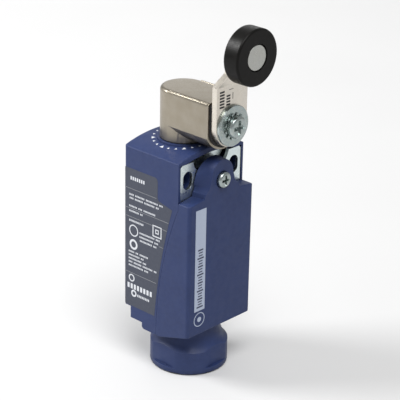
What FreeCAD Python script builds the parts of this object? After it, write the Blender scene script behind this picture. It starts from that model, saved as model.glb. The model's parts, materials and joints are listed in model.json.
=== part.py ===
"""Compact limit switch with a turret head and a side roller lever.

Frame: +Z up, origin on the axis of the cable entry at the mouth of its collar. The front cover faces -Y,
the flat mounting face +Y. Millimetres.
"""
import FreeCAD
import Part
import math
import os

import Sketcher

Vector = FreeCAD.Vector
Rotation = FreeCAD.Rotation

# ---------------------------------------------------------------- driving dimensions
DIMENSIONS = {
    # body shell
    "case_width": 31.0,
    "case_depth": 25.4,
    "entry_to_back": 16.5,
    "cover_rise": 5.2,
    "body_top": 81.9,
    "crown_radius": 50.0,
    "side_wall": 1.6,
    "back_wall": 2.0,
    "top_wall": 1.8,
    "floor_top": 20.2,
    "floor_thickness": 1.2,
    "sole_height": 14.1,
    "heel_height": 16.4,
    "heel_run": 8.0,
    "heel_slope": 2.5,
    "heel_round": 1.1,
    "pad_foot": 20.7,
    "pad_relief": 3.2,
    "corner_round": 1.1,
    "edge_round": 0.35,
    # parting line between case and cover, seen from the side
    "parting_drop": 18.4,
    "parting_mid_depth": 7.5,
    "parting_sag": 0.1,
    "parting_foot_depth": 9.9,
    "parting_gap": 0.1,
    # cable entry collar
    "collar_radius": 13.5,
    "collar_edge": 8.4,
    "collar_chamfer": 1.5,
    "collar_chamfer_rise": 1.6,
    "neck_radius": 10.7,
    "neck_start": 13.5,
    "flat_offset": 12.45,
    "flat_foot": 2.2,
    "thread_radius": 9.19,
    "thread_length": 13.0,
    "entry_radius": 8.2,
    "collar_round": 0.7,
    # front cover
    "cover_foot": 18.0,
    "cover_head_drop": 14.6,
    "cover_crown": 80.0,
    "cover_wall": 1.5,
    "cover_roof": 2.1,
    "cover_edge_round": 1.3,
    "hump_arch": 5.0,
    "hump_drop": 3.3,
    "hump_waist_rise": 3.4,
    "hump_waist_step": 0.9,
    "hump_flare": 8.1,
    "hump_flare_rise": 1.0,
    "hump_skirt": 0.6,
    "hump_root": 1.2,
    "hump_hollow_in": 0.35,
    "hump_hollow_down": 0.25,
    "hump_back_spread": 2.6,
    "neck_gap": 0.25,
    # cover screw and its insert
    "cover_screw_drop": 10.2,
    "cover_screw_head": 2.8,
    "cover_screw_radius": 1.45,
    "cover_screw_proud": 1.6,
    "cover_screw_sink": 0.6,
    "cover_screw_reach": 10.6,
    "insert_radius": 2.0,
    "insert_bore": 1.5,
    "insert_length": 5.0,
    "boss_radius": 2.5,
    "boss_length": 8.2,
    # fixing holes and plate
    "fixing_spacing": 22.0,
    "fixing_radius": 2.15,
    "fixing_slot": 6.3,
    "fixing_drop": 9.25,
    "fixing_round_length": 3.0,
    "fixing_tube_wall": 0.95,
    "plate_side_inset": 1.1,
    "plate_length": 12.5,
    "plate_drop": 3.4,
    "plate_corner": 0.8,
    "plate_screw_gap": 0.4,
    "plate_thickness": 1.2,
    "plate_sink": 0.2,
    "plate_gap": 0.15,
    # turret seat, head latch fork
    "turret_to_back": 12.45,
    "seat_wall": 1.9,
    "seat_rise": 0.1,
    "bore_radius": 7.0,
    "spigot_gap": 0.1,
    "spigot_depth": 5.9,
    "groove_depth": 1.5,
    "guide_half_width": 9.6,
    "guide_wall": 1.6,
    "guide_depth": 7.4,
    "guide_sink": 1.4,
    "fork_depth": 3.9,
    "fork_thickness": 1.4,
    "fork_half_width": 8.0,
    "fork_gap": 0.15,
    "fork_play": 0.2,
    "fork_tine_end": 5.5,
    "tab_gap": 0.55,
    "tab_thickness": 1.2,
    "tab_depth": 7.5,
    "tab_round": 4.8,
    "tab_window_gap": 0.5,
    # head housing
    "head_rim": 1.0,
    "head_height": 18.0,
    "head_foot_gap": 0.45,
    "head_front_reach": 18.35,
    "shaft_rise": 9.6,
    "belly_bulge": 0.85,
    "chamber_radius": 6.4,
    "chamber_lift": 2.1,
    "chamber_roof": 2.1,
    "coil_chamber_radius": 6.2,
    "bearing_wall": 5.3,
    "head_round": 1.3,
    "seal_ring_gap": 0.03,
    # plunger in the head
    "pocket_radius": 4.2,
    "guide_length": 1.5,
    "plunger_radius": 2.0,
    "plunger_stand_off": 1.0,
    "plunger_cap_radius": 3.8,
    "plunger_cap": 1.4,
    "plunger_top_gap": 0.3,
    "running_gap": 0.05,
    "travel": 3.0,
    # shaft, cam, bush and seals
    "shaft_radius": 2.95,
    "journal_radius": 2.0,
    "journal_length": 0.9,
    "journal_shoulder": 1.5,
    "cam_radius": 5.0,
    "cam_flat": 3.2,
    "cam_thickness": 4.0,
    "bush_radius": 5.0,
    "bush_length": 3.9,
    "lip_seal_gap": 0.2,
    "flange_thickness": 0.8,
    "flange_inset": 0.75,
    "flange_gap": 0.1,
    # lever
    "lever_thickness": 2.2,
    "lever_half_width": 7.25,
    "lever_tip_half_width": 5.8,
    "lever_bend_height": 13.9,
    "lever_bend_rise": 5.2,
    "lever_jog": 3.75,
    "lever_length": 25.08,
    "lever_bend_round": 1.6,
    "shaft_end_inset": 0.2,
    "washer_radius": 6.95,
    "washer_thickness": 1.1,
    "washer_chamfer": 0.2,
    "lock_washer_radius": 4.6,
    "lock_washer_thickness": 0.6,
    "lever_screw_radius": 1.95,
    "lever_screw_head": 4.05,
    "lever_screw_head_height": 1.9,
    "lever_screw_reach": 8.5,
    "screw_hole_gap": 0.05,
    # roller
    "roller_radius": 9.5,
    "roller_width": 6.1,
    "roller_round": 0.7,
    "roller_back_gap": 0.35,
    "rivet_radius": 3.0,
    "rivet_head_radius": 4.25,
    "rivet_head": 0.95,
    "rivet_tail": 0.75,
    "rivet_tail_taper": 0.4,
    "rivet_chamfer": 0.15,
    "hub_recess": 1.25,
    "hub_gap": 0.3,
    # springs
    "return_wire": 0.9,
    "return_coil_radius": 4.4,
    "return_pitch": 1.35,
    "plunger_wire": 0.5,
    "plunger_coil_radius": 3.05,
    "plunger_pitch": 1.2,
    "carrier_wire": 0.4,
    "carrier_coil_radius": 1.5,
    "carrier_pitch": 1.0,
    "bridge_wire": 0.25,
    "bridge_coil_radius": 0.5,
    "bridge_pitch": 0.5,
    "spring_end_gap": 0.1,
    # contact block
    "block_side_gap": 1.9,
    "block_height": 27.0,
    "block_drop": 1.0,
    "block_setback": 6.9,
    "block_lift": 0.9,
    "block_wall": 2.0,
    "chamber_half_width": 5.2,
    "pocket_half_width": 2.9,
    "pocket_half_height": 4.0,
    "pocket_behind": 4.1,
    "terminal_inset": 3.2,
    "terminal_level": 7.0,
    "terminal_behind": 1.45,
    "terminal_thickness": 1.0,
    "terminal_arm_depth": 2.4,
    "contact_reach": 2.6,
    "tip_radius": 0.9,
    "tip_height": 0.5,
    "bridge_thickness": 1.0,
    "bridge_round": 0.3,
    "bridge_half_width": 4.6,
    "bridge_half_depth": 0.9,
    "carrier_half_width": 1.8,
    "carrier_lift": 8.4,
    "carrier_way_radius": 2.88,
    "carrier_window": 4.1,
    "carrier_gap": 0.1,
    "terminal_screw_radius": 1.45,
    "terminal_screw_head": 2.5,
    "terminal_screw_head_height": 1.8,
    "terminal_screw_length": 5.8,
    "clamp_half_width": 2.5,
    "terminal_half_width": 2.6,
    "clamp_thickness": 1.0,
    "block_screw_inset": 2.5,
    "block_screw_radius": 1.25,
    "block_screw_head": 2.3,
    "block_screw_head_height": 1.6,
    "block_screw_bite": 1.3,
    # gasket
    "gasket_width": 1.2,
    "gasket_thickness": 0.9,
    "gasket_gap": 0.1,
    "gasket_bar": 1.2,
    "gasket_foot_inset": 0.5,
    # printed labels
    "label_thickness": 0.08,
    "label_foot": 21.0,
    "label_drop": 9.9,
    "label_step": 8.1,
    "label_shoulder_depth": 15.9,
    "label_margin": 0.7,
    "label_mid_margin": 0.77,
    "label_back_margin": 0.5,
    "label_round": 1.3,
    "strip_inset": 3.05,
    "strip_width": 4.9,
    "strip_lift": 8.9,
    "strip_drop": 3.5,
    # cross recesses of the screws
    "recess_width": 0.22,
    "recess_span": 1.15,
    "recess_depth": 0.5,
}


FLAT_COUNT = 4
# how far a cutting tool runs past the faces it crosses, and a tool that clears the whole body
PAST = 1
CLEAR = 30
# how far a post or rib is rooted in the wall it stands on
ROOT = 0.5
# rounding picks its edges by these lengths
LONG_EDGE = 20
SHORT_EDGE = 0.5
NEAR = 1
TOUCH = 0.01
DOME_SHARE = 0.45
HUMP_FLARE_SHARE = 0.3
# the back of a bend starts higher than its front by this share of the lever's thickness
BEND_LAG_SHARE = 0.23
# how far the middle of a quarter round lies from its centre, and from its corner, as shares of its radius
DIAGONAL = math.sqrt(0.5)
DIAGONAL_IN = 1 - DIAGONAL


class Size:
    """A length together with the spreadsheet expression that gives it."""

    def __init__(self, value, text):
        self.value = value
        self.text = text

    def __add__(self, other):
        other = as_size(other)
        return Size(self.value + other.value, "(%s + %s)" % (self.text, other.text))

    def __sub__(self, other):
        other = as_size(other)
        return Size(self.value - other.value, "(%s - %s)" % (self.text, other.text))

    def __mul__(self, other):
        other = as_size(other)
        return Size(self.value * other.value, "(%s * %s)" % (self.text, other.text))

    def __truediv__(self, other):
        other = as_size(other)
        return Size(self.value / other.value, "(%s / %s)" % (self.text, other.text))

    def __radd__(self, other):
        return as_size(other) + self

    def __rsub__(self, other):
        return as_size(other) - self

    def __rmul__(self, other):
        return as_size(other) * self

    def __neg__(self):
        return as_size(0) - self

    def root(self):
        """Square root."""
        return Size(math.sqrt(self.value), "sqrt(%s)" % self.text)


def as_size(number):
    """A plain number as a Size; a Size comes back unchanged."""
    if isinstance(number, Size):
        return number
    return Size(float(number), "(%r)" % float(number))


class Dimensions:
    """The spreadsheet's aliases as attributes, each one a Size."""

    def __init__(self, sheet, table):
        for row, (alias, number) in enumerate(table.items(), start=1):
            sheet.set("A%d" % row, alias)
            sheet.set("B%d" % row, str(number))
            sheet.setAlias("B%d" % row, alias)
            setattr(self, alias, Size(number, "%s.%s" % (sheet.Name, alias)))


doc = FreeCAD.newDocument("LimitSwitch")
d = Dimensions(doc.addObject("Spreadsheet::Sheet", "Dims"), DIMENSIONS)
doc.recompute()

sub_parts = {}


def sub_part(name, shape_object):
    """Register an object as the sub-part called name."""
    shape_object.Label = name
    sub_parts[name] = shape_object
    return shape_object


# ---------------------------------------------------------------- building blocks
AXIS_ROTATIONS = {
    "X": Rotation(Vector(0, 1, 0), 90),
    "Y": Rotation(Vector(1, 0, 0), -90),
    "Z": Rotation(),
}
PLANES = {"X": "YZ_Plane", "Y": "XZ_Plane", "Z": "XY_Plane"}


def put(thing, **place):
    """Bind the x, y and z of a thing's placement."""
    for letter, size in place.items():
        thing.setExpression("Placement.Base." + letter, as_size(size).text)


def block(name, x, y, z):
    """A box between (low, high) pairs of sizes."""
    box = doc.addObject("Part::Box", name)
    for side, letter, (low, high) in zip(("Length", "Width", "Height"), "xyz", (x, y, z)):
        box.setExpression(side, (as_size(high) - low).text)
        put(box, **{letter: low})
    return box


def cylinder(name, axis, centre, span, radius):
    """A cylinder along X, Y or Z; centre holds the other two coordinates in X, Y, Z order."""
    low, high = span
    rod = doc.addObject("Part::Cylinder", name)
    rod.Placement = FreeCAD.Placement(Vector(), AXIS_ROTATIONS[axis])
    rod.setExpression("Radius", as_size(radius).text)
    rod.setExpression("Height", (as_size(high) - low).text)
    across = [letter for letter in "xyz" if letter != axis.lower()]
    put(rod, **{axis.lower(): low, across[0]: centre[0], across[1]: centre[1]})
    return rod


def fuse(name, *shapes):
    joined = doc.addObject("Part::MultiFuse", name)
    joined.Shapes = list(shapes)
    joined.Refine = True
    return joined


def common(name, *shapes):
    shared = doc.addObject("Part::MultiCommon", name)
    shared.Shapes = list(shapes)
    return shared


def cut(name, base, *tools):
    """The base less every tool."""
    result = doc.addObject("Part::Cut", name)
    result.Base = base
    result.Tool = tools[0] if len(tools) == 1 else fuse(name + "Tools", *tools)
    result.Refine = True
    return result


def group(name, *shapes):
    """Separate solids in one node."""
    compound = doc.addObject("Part::Compound", name)
    compound.Links = list(shapes)
    return compound


def rounded(name, base, radius, choose):
    """Fillet the edges of base that choose(edge) picks."""
    doc.recompute()
    fillet = doc.addObject("Part::Fillet", name)
    fillet.Base = base
    picked = [number for number, edge in enumerate(base.Shape.Edges, start=1) if choose(edge)]
    if not picked:
        raise ValueError("no edge to round on " + name)
    fillet.Edges = [(number, radius.value, radius.value) for number in picked]
    return fillet


def origin_plane(body, role):
    return [plane for plane in body.Origin.OriginFeatures if plane.Role == role][0]


def new_sketch(body, axis, offset):
    """A sketch on the body's origin plane across the axis, moved by (u, v, along the plane's normal)."""
    sketch = body.newObject("Sketcher::SketchObject", body.Name + "Sketch")
    sketch.AttachmentSupport = [(origin_plane(body, PLANES[axis]), "")]
    sketch.MapMode = "FlatFace"
    for letter, size in zip("xyz", offset):
        sketch.setExpression("AttachmentOffset.Base." + letter, as_size(size).text)
    return sketch


def pin_point(sketch, geometry, position, u, v):
    """Tie one point of a sketch to its two coordinates."""
    for kind, size, axis in (("DistanceX", u, -2), ("DistanceY", v, -1)):
        size = as_size(size)
        if size.value == 0.0:
            sketch.addConstraint(Sketcher.Constraint("PointOnObject", geometry, position, axis))
            continue
        number = sketch.addConstraint(Sketcher.Constraint(kind, -1, 1, geometry, position, size.value))
        sketch.setExpression("Constraints[%d]" % number, size.text)


def add_circle(sketch, u, v, radius):
    u, v, radius = as_size(u), as_size(v), as_size(radius)
    circle = Part.Circle(Vector(u.value, v.value, 0), Vector(0, 0, 1), radius.value)
    number = sketch.addGeometry(circle)
    pin_point(sketch, number, 3, u, v)
    bound = sketch.addConstraint(Sketcher.Constraint("Radius", number, radius.value))
    sketch.setExpression("Constraints[%d]" % bound, radius.text)


def arc_through(start, middle, end):
    """The arc through three points, and whether it runs counter-clockwise from start to end."""
    circle = Part.Arc(start, middle, end).toShape().Curve
    centre = circle.Center
    angles = [math.atan2(point.y - centre.y, point.x - centre.x) for point in (start, middle, end)]
    turn = 2 * math.pi
    forward = (angles[1] - angles[0]) % turn < (angles[2] - angles[0]) % turn
    first, last = (angles[0], angles[2]) if forward else (angles[2], angles[0])
    full = Part.Circle(centre, Vector(0, 0, 1), circle.Radius)
    return Part.ArcOfCircle(full, first, last), forward


def add_outline(sketch, corners):
    """A closed outline. A corner is (u, v), or (u, v, middle_u, middle_v) when an arc leads to it."""
    points = [Vector(as_size(c[0]).value, as_size(c[1]).value, 0) for c in corners]
    pieces = []
    for index, corner in enumerate(corners):
        start, end = points[index - 1], points[index]
        if len(corner) == 2:
            number = sketch.addGeometry(Part.LineSegment(start, end))
            pieces.append((number, 1, 2))
            continue
        middle = Vector(as_size(corner[2]).value, as_size(corner[3]).value, 0)
        arc, forward = arc_through(start, middle, end)
        number = sketch.addGeometry(arc)
        pieces.append((number, 1, 2) if forward else (number, 2, 1))
    for index, (number, _, last) in enumerate(pieces):
        follower, first, _ = pieces[(index + 1) % len(pieces)]
        sketch.addConstraint(Sketcher.Constraint("Coincident", number, last, follower, first))
        pin_point(sketch, number, last, corners[index][0], corners[index][1])
    for (number, _, _), corner in zip(pieces, corners):
        if len(corner) == 4:
            middle = Vector(as_size(corner[2]).value, as_size(corner[3]).value, 0)
            marker = sketch.addGeometry(Part.Point(middle), True)
            pin_point(sketch, marker, 1, corner[2], corner[3])
            sketch.addConstraint(Sketcher.Constraint("PointOnObject", marker, 1, number))


def prism(name, axis, span, outlines=(), circles=()):
    """A body padded along an axis over span from outlines and circles.

    Outline coordinates are (Y, Z) along X, (X, Z) along Y and (X, Y) along Z.
    """
    low, high = as_size(span[0]), as_size(span[1])
    body = doc.addObject("PartDesign::Body", name)
    # the plane across Y faces -Y, so a pad there starts from the high end
    start = -high if axis == "Y" else low
    sketch = new_sketch(body, axis, (0, 0, start))
    for corners in outlines:
        add_outline(sketch, corners)
    for circle in circles:
        add_circle(sketch, *circle)
    pad = body.newObject("PartDesign::Pad", name + "Pad")
    pad.Profile = sketch
    pad.setExpression("Length", (high - low).text)
    sketch.Visibility = False
    return body


def turned(name, axis, centre, corners):
    """A body of revolution about a line along Y or Z; corners are (along the axis, radius)."""
    body = doc.addObject("PartDesign::Body", name)
    if axis == "Y":
        # sketch across X: its first axis runs along Y, its second along Z
        sketch = new_sketch(body, "X", (0, centre[1], centre[0]))
        add_outline(sketch, corners)
        line = "H_Axis"
    else:
        # sketch across Y: its first axis runs along X, its second along Z
        sketch = new_sketch(body, "Y", (centre[0], 0, -as_size(centre[1])))
        swapped = [tuple(pair for k in range(0, len(c), 2) for pair in (c[k + 1], c[k])) for c in corners]
        add_outline(sketch, swapped)
        line = "V_Axis"
    spin = body.newObject("PartDesign::Revolution", name + "Turn")
    spin.Profile = sketch
    spin.ReferenceAxis = (sketch, [line])
    spin.Angle = 360
    sketch.Visibility = False
    return body


def ring(name, axis, centre, span, inner, outer):
    """A plain ring with a rectangular section."""
    low, high = span
    return turned(name, axis, centre, [(low, inner), (high, inner), (high, outer), (low, outer)])


def coil(name, axis, centre, span, radius, wire, pitch):
    """A spring between the ends of span: half turns, each flat and tilted, that join tangentially.

    centre holds the other two coordinates, as for a cylinder.
    """
    low, high = as_size(span[0]).value + wire.value / 2, as_size(span[1]).value - wire.value / 2
    half_turns = max(2, round((high - low) / as_size(pitch).value) * 2)
    rise = (high - low) / half_turns
    radius = as_size(radius).value
    bulge = math.hypot(radius, rise / 2)
    arcs = []
    for number in range(half_turns):
        side = 1 if number % 2 == 0 else -1
        start = Vector(side * radius, 0, number * rise)
        middle = Vector(0, side * bulge, (number + 0.5) * rise)
        end = Vector(-side * radius, 0, (number + 1) * rise)
        arcs.append(Part.Arc(start, middle, end).toShape())
    section = Part.Wire(Part.makeCircle(wire.value / 2, Vector(radius, 0, 0), Vector(0, 1, 0)))
    spring = doc.addObject("Part::Feature", name)
    spring.Shape = Part.Wire(arcs).makePipeShell([section], True, False)
    across = [as_size(size).value for size in centre]
    base = Vector(*across, low) if axis == "Z" else Vector(across[0], low, across[1])
    spring.Placement = FreeCAD.Placement(base, AXIS_ROTATIONS[axis])
    return spring


def dome_middle(rise, radius):
    """Height and radius of the point halfway out on a spherical dome of that rise and edge radius."""
    sphere = (radius * radius + rise * rise) / (rise * 2)
    half = radius / 2
    return rise - sphere + (sphere * sphere - half * half).root(), half


def pan_screw(name, centre, seat, head_radius, head_height, shank_radius, tip):
    """A pan-head screw along Y whose head stands forward of its seat, with a cross recess."""
    front = seat - head_height
    dome = head_height * DOME_SHARE
    shoulder = front + dome
    bulge, bulge_radius = dome_middle(dome, head_radius)
    body = turned(name + "Turned", "Y", centre, [
        (tip, 0),
        (tip, shank_radius),
        (seat, shank_radius),
        (seat, head_radius),
        (shoulder, head_radius),
        (front, 0, shoulder - bulge, bulge_radius),
    ])
    half = d.recess_width * head_radius / 2
    span = d.recess_span * head_radius / 2
    depth = (front - PAST, front + d.recess_depth * head_height)
    x, z = as_size(centre[0]), as_size(centre[1])
    upright = block(name + "SlotUp", (x - half, x + half), depth, (z - span, z + span))
    level = block(name + "SlotAcross", (x - span, x + span), depth, (z - half, z + half))
    return cut(name, body, upright, level)


# ---------------------------------------------------------------- planes shared by several pieces
# depths, front to back
back = d.entry_to_back
rim = back - d.case_depth
cover_front = rim - d.cover_rise
inner_back = back - d.back_wall
turret_y = back - d.turret_to_back
parting_foot = rim + d.parting_foot_depth
undercut = back - d.pad_relief
heel_front = undercut - d.heel_run + d.heel_slope
plate_front = rim + d.plate_sink
plate_back = plate_front + d.plate_thickness
guide_front = turret_y - d.bore_radius - d.guide_wall
tab_back = guide_front - d.tab_gap
tab_front = tab_back - d.tab_thickness
chamber_back = turret_y + d.chamber_radius
head_front = turret_y - d.head_front_reach
bearing_back = head_front + d.bearing_wall
lever_back = head_front - d.flange_thickness - d.flange_gap
lever_front = lever_back - d.lever_thickness
arm_back = lever_back - d.lever_jog
arm_front = lever_front - d.lever_jog
roller_back = arm_front - d.roller_back_gap
roller_front = roller_back - d.roller_width
washer_front = lever_front - d.washer_thickness
lock_front = washer_front - d.lock_washer_thickness
block_front = rim + d.block_setback
block_back = inner_back - d.block_lift
terminal_back = turret_y + d.terminal_behind
pocket_back = terminal_back + d.pocket_behind

# heights of the body and cover, hung from the body's top
parting_top = d.body_top - d.parting_drop
parting_mid = (rim + d.parting_mid_depth, (d.sole_height + parting_top) / 2 - d.parting_sag)
cover_head = d.body_top - d.cover_head_drop
cover_ceiling = cover_head - d.cover_roof
hump_top = d.body_top - d.hump_drop
cover_screw_height = d.body_top - d.cover_screw_drop
fixing_height = d.body_top - d.fixing_drop
plate_top = d.body_top - d.plate_drop
plate_foot = plate_top - d.plate_length
spigot_foot = d.body_top - d.spigot_depth
guide_foot = d.body_top - d.guide_depth
guide_top = d.body_top - d.guide_sink
fork_foot = d.body_top - d.fork_depth
fork_top = fork_foot + d.fork_thickness
tab_foot = d.body_top - d.tab_depth
window_foot = tab_foot - d.fork_gap
window_bend = window_foot + d.tab_round

# heights of the head and lever
seat_top = d.body_top + d.seat_rise
head_foot = seat_top + d.head_foot_gap - d.seat_rise
head_top = d.body_top + d.head_height
shaft_height = d.body_top + d.shaft_rise
roller_height = shaft_height + d.lever_length
chamber_foot = d.body_top + d.chamber_lift
chamber_top = head_top - d.chamber_roof
pocket_floor = spigot_foot + d.guide_length
plunger_top = shaft_height - d.cam_radius - d.plunger_top_gap

# heights of the contact block
block_top = plate_foot - d.block_drop
block_foot = block_top - d.block_height
block_middle = (block_foot + block_top) / 2
plunger_foot = block_top + d.plunger_stand_off
carrier_foot = block_foot + d.carrier_lift

# half widths and radii
half_case = d.case_width / 2
inner_side = half_case - d.side_wall
plate_half_width = half_case - d.plate_side_inset
window_half = d.fork_half_width + d.tab_window_gap
block_half_width = inner_side - d.block_side_gap
terminal_offset = block_half_width - d.terminal_inset
block_screw_offset = block_half_width - d.block_screw_inset
seat_radius = d.bore_radius + d.seat_wall
spigot_radius = d.bore_radius - d.spigot_gap
groove_radius = spigot_radius - d.groove_depth
head_radius = d.bore_radius + d.head_rim
belly_radius = head_radius + d.belly_bulge

on_turret = (0, turret_y)
on_shaft = (0, shaft_height)


# ---------------------------------------------------------------- body shell
def side_outline(foot_from, inset=0):
    """The rear case seen from the side, back face to parting line."""
    return [
        (back, d.pad_foot),
        (back, foot_from),
        (rim, foot_from),
        (rim, parting_top),
        (parting_foot, d.sole_height, parting_mid[0], parting_mid[1]),
        (heel_front - d.heel_round, d.sole_height),
        (heel_front, d.sole_height + d.heel_round,
         heel_front - d.heel_round * DIAGONAL_IN, d.sole_height + d.heel_round * DIAGONAL_IN),
        (heel_front, d.heel_height),
        (undercut, d.heel_height),
        (undercut, d.pad_foot),
    ]


def slot_outline(x, half_width, length, z):
    """An upright round-ended slot."""
    reach = length / 2 - half_width
    return [
        (x - half_width, z - reach),
        (x + half_width, z - reach, x, z - reach - half_width),
        (x + half_width, z + reach),
        (x - half_width, z + reach, x, z + reach + half_width),
    ]


def build_collar():
    """The cable entry collar: a round skirt with wrench flats under a coned shoulder and a neck."""
    shoulder = d.collar_edge + d.collar_chamfer_rise
    collar = turned("CollarTurned", "Z", (0, 0), [
        (0, 0),
        (0, d.collar_radius),
        (d.collar_edge, d.collar_radius),
        (shoulder, d.collar_radius - d.collar_chamfer),
        (d.neck_start, d.neck_radius),
        (d.floor_top - d.floor_thickness / 2, d.neck_radius),
        (d.floor_top - d.floor_thickness / 2, 0),
    ])
    sweep = d.flat_offset * math.tan(math.pi / FLAT_COUNT) + 2
    flats = []
    for number in range(FLAT_COUNT):
        flat = block("CollarFlat%d" % number, (0, 4), (-sweep, sweep), (d.flat_foot, d.neck_start + PAST))
        turn = 360 / FLAT_COUNT * number
        flat.Placement = FreeCAD.Placement(Vector(), Rotation(Vector(0, 0, 1), turn))
        angle = math.radians(turn)
        put(flat,
            x=d.flat_offset * math.cos(angle) + sweep * math.sin(angle),
            y=d.flat_offset * math.sin(angle) - sweep * math.cos(angle),
            z=d.flat_foot)
        flats.append(flat)
    faceted = cut("CollarFaceted", collar, *flats)
    return rounded("CollarRounded", faceted, d.collar_round, lambda edge: lies_at(edge, z=0.0))


def lies_at(edge, x=None, y=None, z=None):
    """True when the whole edge lies in each stated plane."""
    box = edge.BoundBox
    spans = {"x": (box.XMin, box.XMax), "y": (box.YMin, box.YMax), "z": (box.ZMin, box.ZMax)}
    for letter, place in (("x", x), ("y", y), ("z", z)):
        if place is not None and max(abs(end - place) for end in spans[letter]) > TOUCH:
            return False
    return True


def runs_along(edge, letter):
    """True for a straight edge along X, Y or Z."""
    box = edge.BoundBox
    spans = {"x": box.XLength, "y": box.YLength, "z": box.ZLength}
    long_side = spans.pop(letter)
    return long_side > SHORT_EDGE and max(spans.values()) < TOUCH


def build_rear_case():
    """One moulding: shell, collar, fixing tubes, turret seat, latch guide and cover-screw boss."""
    top = d.body_top + PAST
    slab = prism("CaseSlab", "X", (-half_case, half_case), [side_outline(top)])
    corners = rounded("CaseCorners", slab, d.corner_round,
                      lambda edge: lies_at(edge, y=back.value) and edge.BoundBox.ZLength > LONG_EDGE)
    crown = cylinder("CaseCrown", "Y", (0, d.body_top - d.crown_radius), (rim - PAST, back + PAST),
                     d.crown_radius)
    outer = common("CaseOuter", corners, crown)
    soft = rounded("CaseSoft", outer, d.edge_round, is_top_rim_edge)

    hollow_box = block("CaseHollowBox", (-inner_side, inner_side), (rim - CLEAR, inner_back),
                       (d.floor_top, top))
    hollow_crown = cylinder("CaseHollowCrown", "Y", (0, d.body_top - d.crown_radius),
                            (rim - CLEAR - PAST, back + PAST), d.crown_radius - d.top_wall)
    hollow = common("CaseHollow", hollow_box, hollow_crown)
    shell = cut("CaseShell", soft, hollow)

    floor = block("CaseFloor", (d.parting_gap * 2 - inner_side, inner_side - d.parting_gap * 2),
                  (-d.neck_radius, parting_foot + PAST), (d.floor_top - d.floor_thickness, d.floor_top))
    ledge_front = undercut - d.floor_thickness
    ledge_top = d.pad_foot + d.floor_thickness
    ledge = prism("CaseLedge", "X", (-inner_side - ROOT, inner_side + ROOT), [[
        (ledge_front, d.floor_top - ROOT),
        (undercut, d.floor_top - ROOT),
        (undercut, d.pad_foot),
        (inner_back + ROOT, d.pad_foot),
        (inner_back + ROOT, ledge_top),
        (ledge_front, ledge_top),
    ]])
    collar = build_collar()
    tubes = [fixing_tube(side) for side in (-1, 1)]
    guide = block("LatchGuide", (-d.guide_half_width, d.guide_half_width),
                  (guide_front, turret_y + d.bore_radius + d.guide_wall),
                  (guide_foot, guide_top))
    seat = cylinder("TurretSeat", "Z", on_turret, (guide_top - PAST, seat_top), seat_radius)
    boss = cylinder("CoverBoss", "Y", (0, cover_screw_height),
                    (plate_back + d.fork_gap, plate_back + d.boss_length), d.boss_radius)
    rib = block("CoverBossRib", (-d.boss_radius, d.boss_radius),
                (tab_back + d.fork_play, plate_back + d.boss_length),
                (cover_screw_height, guide_foot + ROOT))
    solid = fuse("CaseSolid", shell, floor, ledge, collar, *tubes, guide, seat, boss, rib)

    entry = cylinder("EntryBore", "Z", (0, 0), (d.thread_length - PAST, d.floor_top + PAST), d.entry_radius)
    thread = cylinder("EntryThread", "Z", (0, 0), (-1, d.thread_length), d.thread_radius)
    turret_bore = cylinder("TurretBore", "Z", on_turret, (guide_foot - PAST, seat_top + PAST), d.bore_radius)
    fork_way = block("ForkWay", (-d.fork_half_width - d.fork_gap, d.fork_half_width + d.fork_gap),
                     (rim, turret_y + d.fork_tine_end + PAST),
                     (fork_foot - d.fork_gap, fork_top + d.fork_gap))
    rebate = block("PlateRebate", (-plate_half_width - d.plate_gap, plate_half_width + d.plate_gap),
                   (rim - PAST, plate_back + d.running_gap),
                   (plate_foot - d.parting_gap, plate_top + d.plate_gap))
    insert_hole = cylinder("InsertHole", "Y", (0, cover_screw_height),
                           (plate_back, plate_back + d.fork_gap + d.insert_length), d.insert_radius)
    screw_way = cylinder("ScrewWay", "Y", (0, cover_screw_height),
                         (plate_back, plate_back + d.boss_length - PAST), d.insert_bore)
    holes = [entry, thread, turret_bore, fork_way, rebate, insert_hole, screw_way]
    for side in (-1, 1):
        x = d.fixing_spacing / 2 * side
        label = "Left" if side < 0 else "Right"
        slot = prism("FixingSlot" + label, "Y", (rim - PAST, back - d.fixing_round_length),
                     [slot_outline(x, d.fixing_radius, d.fixing_slot, fixing_height)])
        through = cylinder("FixingHole" + label, "Y", (x, fixing_height), (rim, back + PAST), d.fixing_radius)
        holes += [slot, through]
        pilot_x = block_screw_offset * side
        pilot = cylinder("BlockPilot" + label, "Y", (pilot_x, block_middle),
                         (block_back, inner_back + d.block_screw_bite + d.screw_hole_gap),
                         d.block_screw_radius)
        holes.append(pilot)
    pillars = [block_pillar(side) for side in (-1, 1)]
    solid = fuse("CaseWithPillars", solid, *pillars)
    return sub_part("rear_case", cut("RearCase", solid, *holes))


def is_top_rim_edge(edge):
    """Edges round the crowned top, and the front rim of the walls."""
    box = edge.BoundBox
    lowest_crown = d.body_top.value - d.crown_radius.value
    lowest_crown += math.sqrt(d.crown_radius.value ** 2 - half_case.value ** 2)
    return box.ZMin > lowest_crown - NEAR


def fixing_tube(side):
    """The walled tube round one fixing slot."""
    x = d.fixing_spacing / 2 * side
    label = "Left" if side < 0 else "Right"
    wall = d.fixing_tube_wall
    outline = slot_outline(x, d.fixing_radius + wall, d.fixing_slot + wall * 2, fixing_height)
    return prism("FixingTube" + label, "Y", (plate_back, inner_back + ROOT), [outline])


def block_pillar(side):
    """A short pillar on the back wall that carries the contact block."""
    label = "Left" if side < 0 else "Right"
    x = block_screw_offset * side
    return cylinder("BlockPillar" + label, "Y", (x, block_middle), (block_back, inner_back + ROOT),
                    d.block_screw_head)


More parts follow.
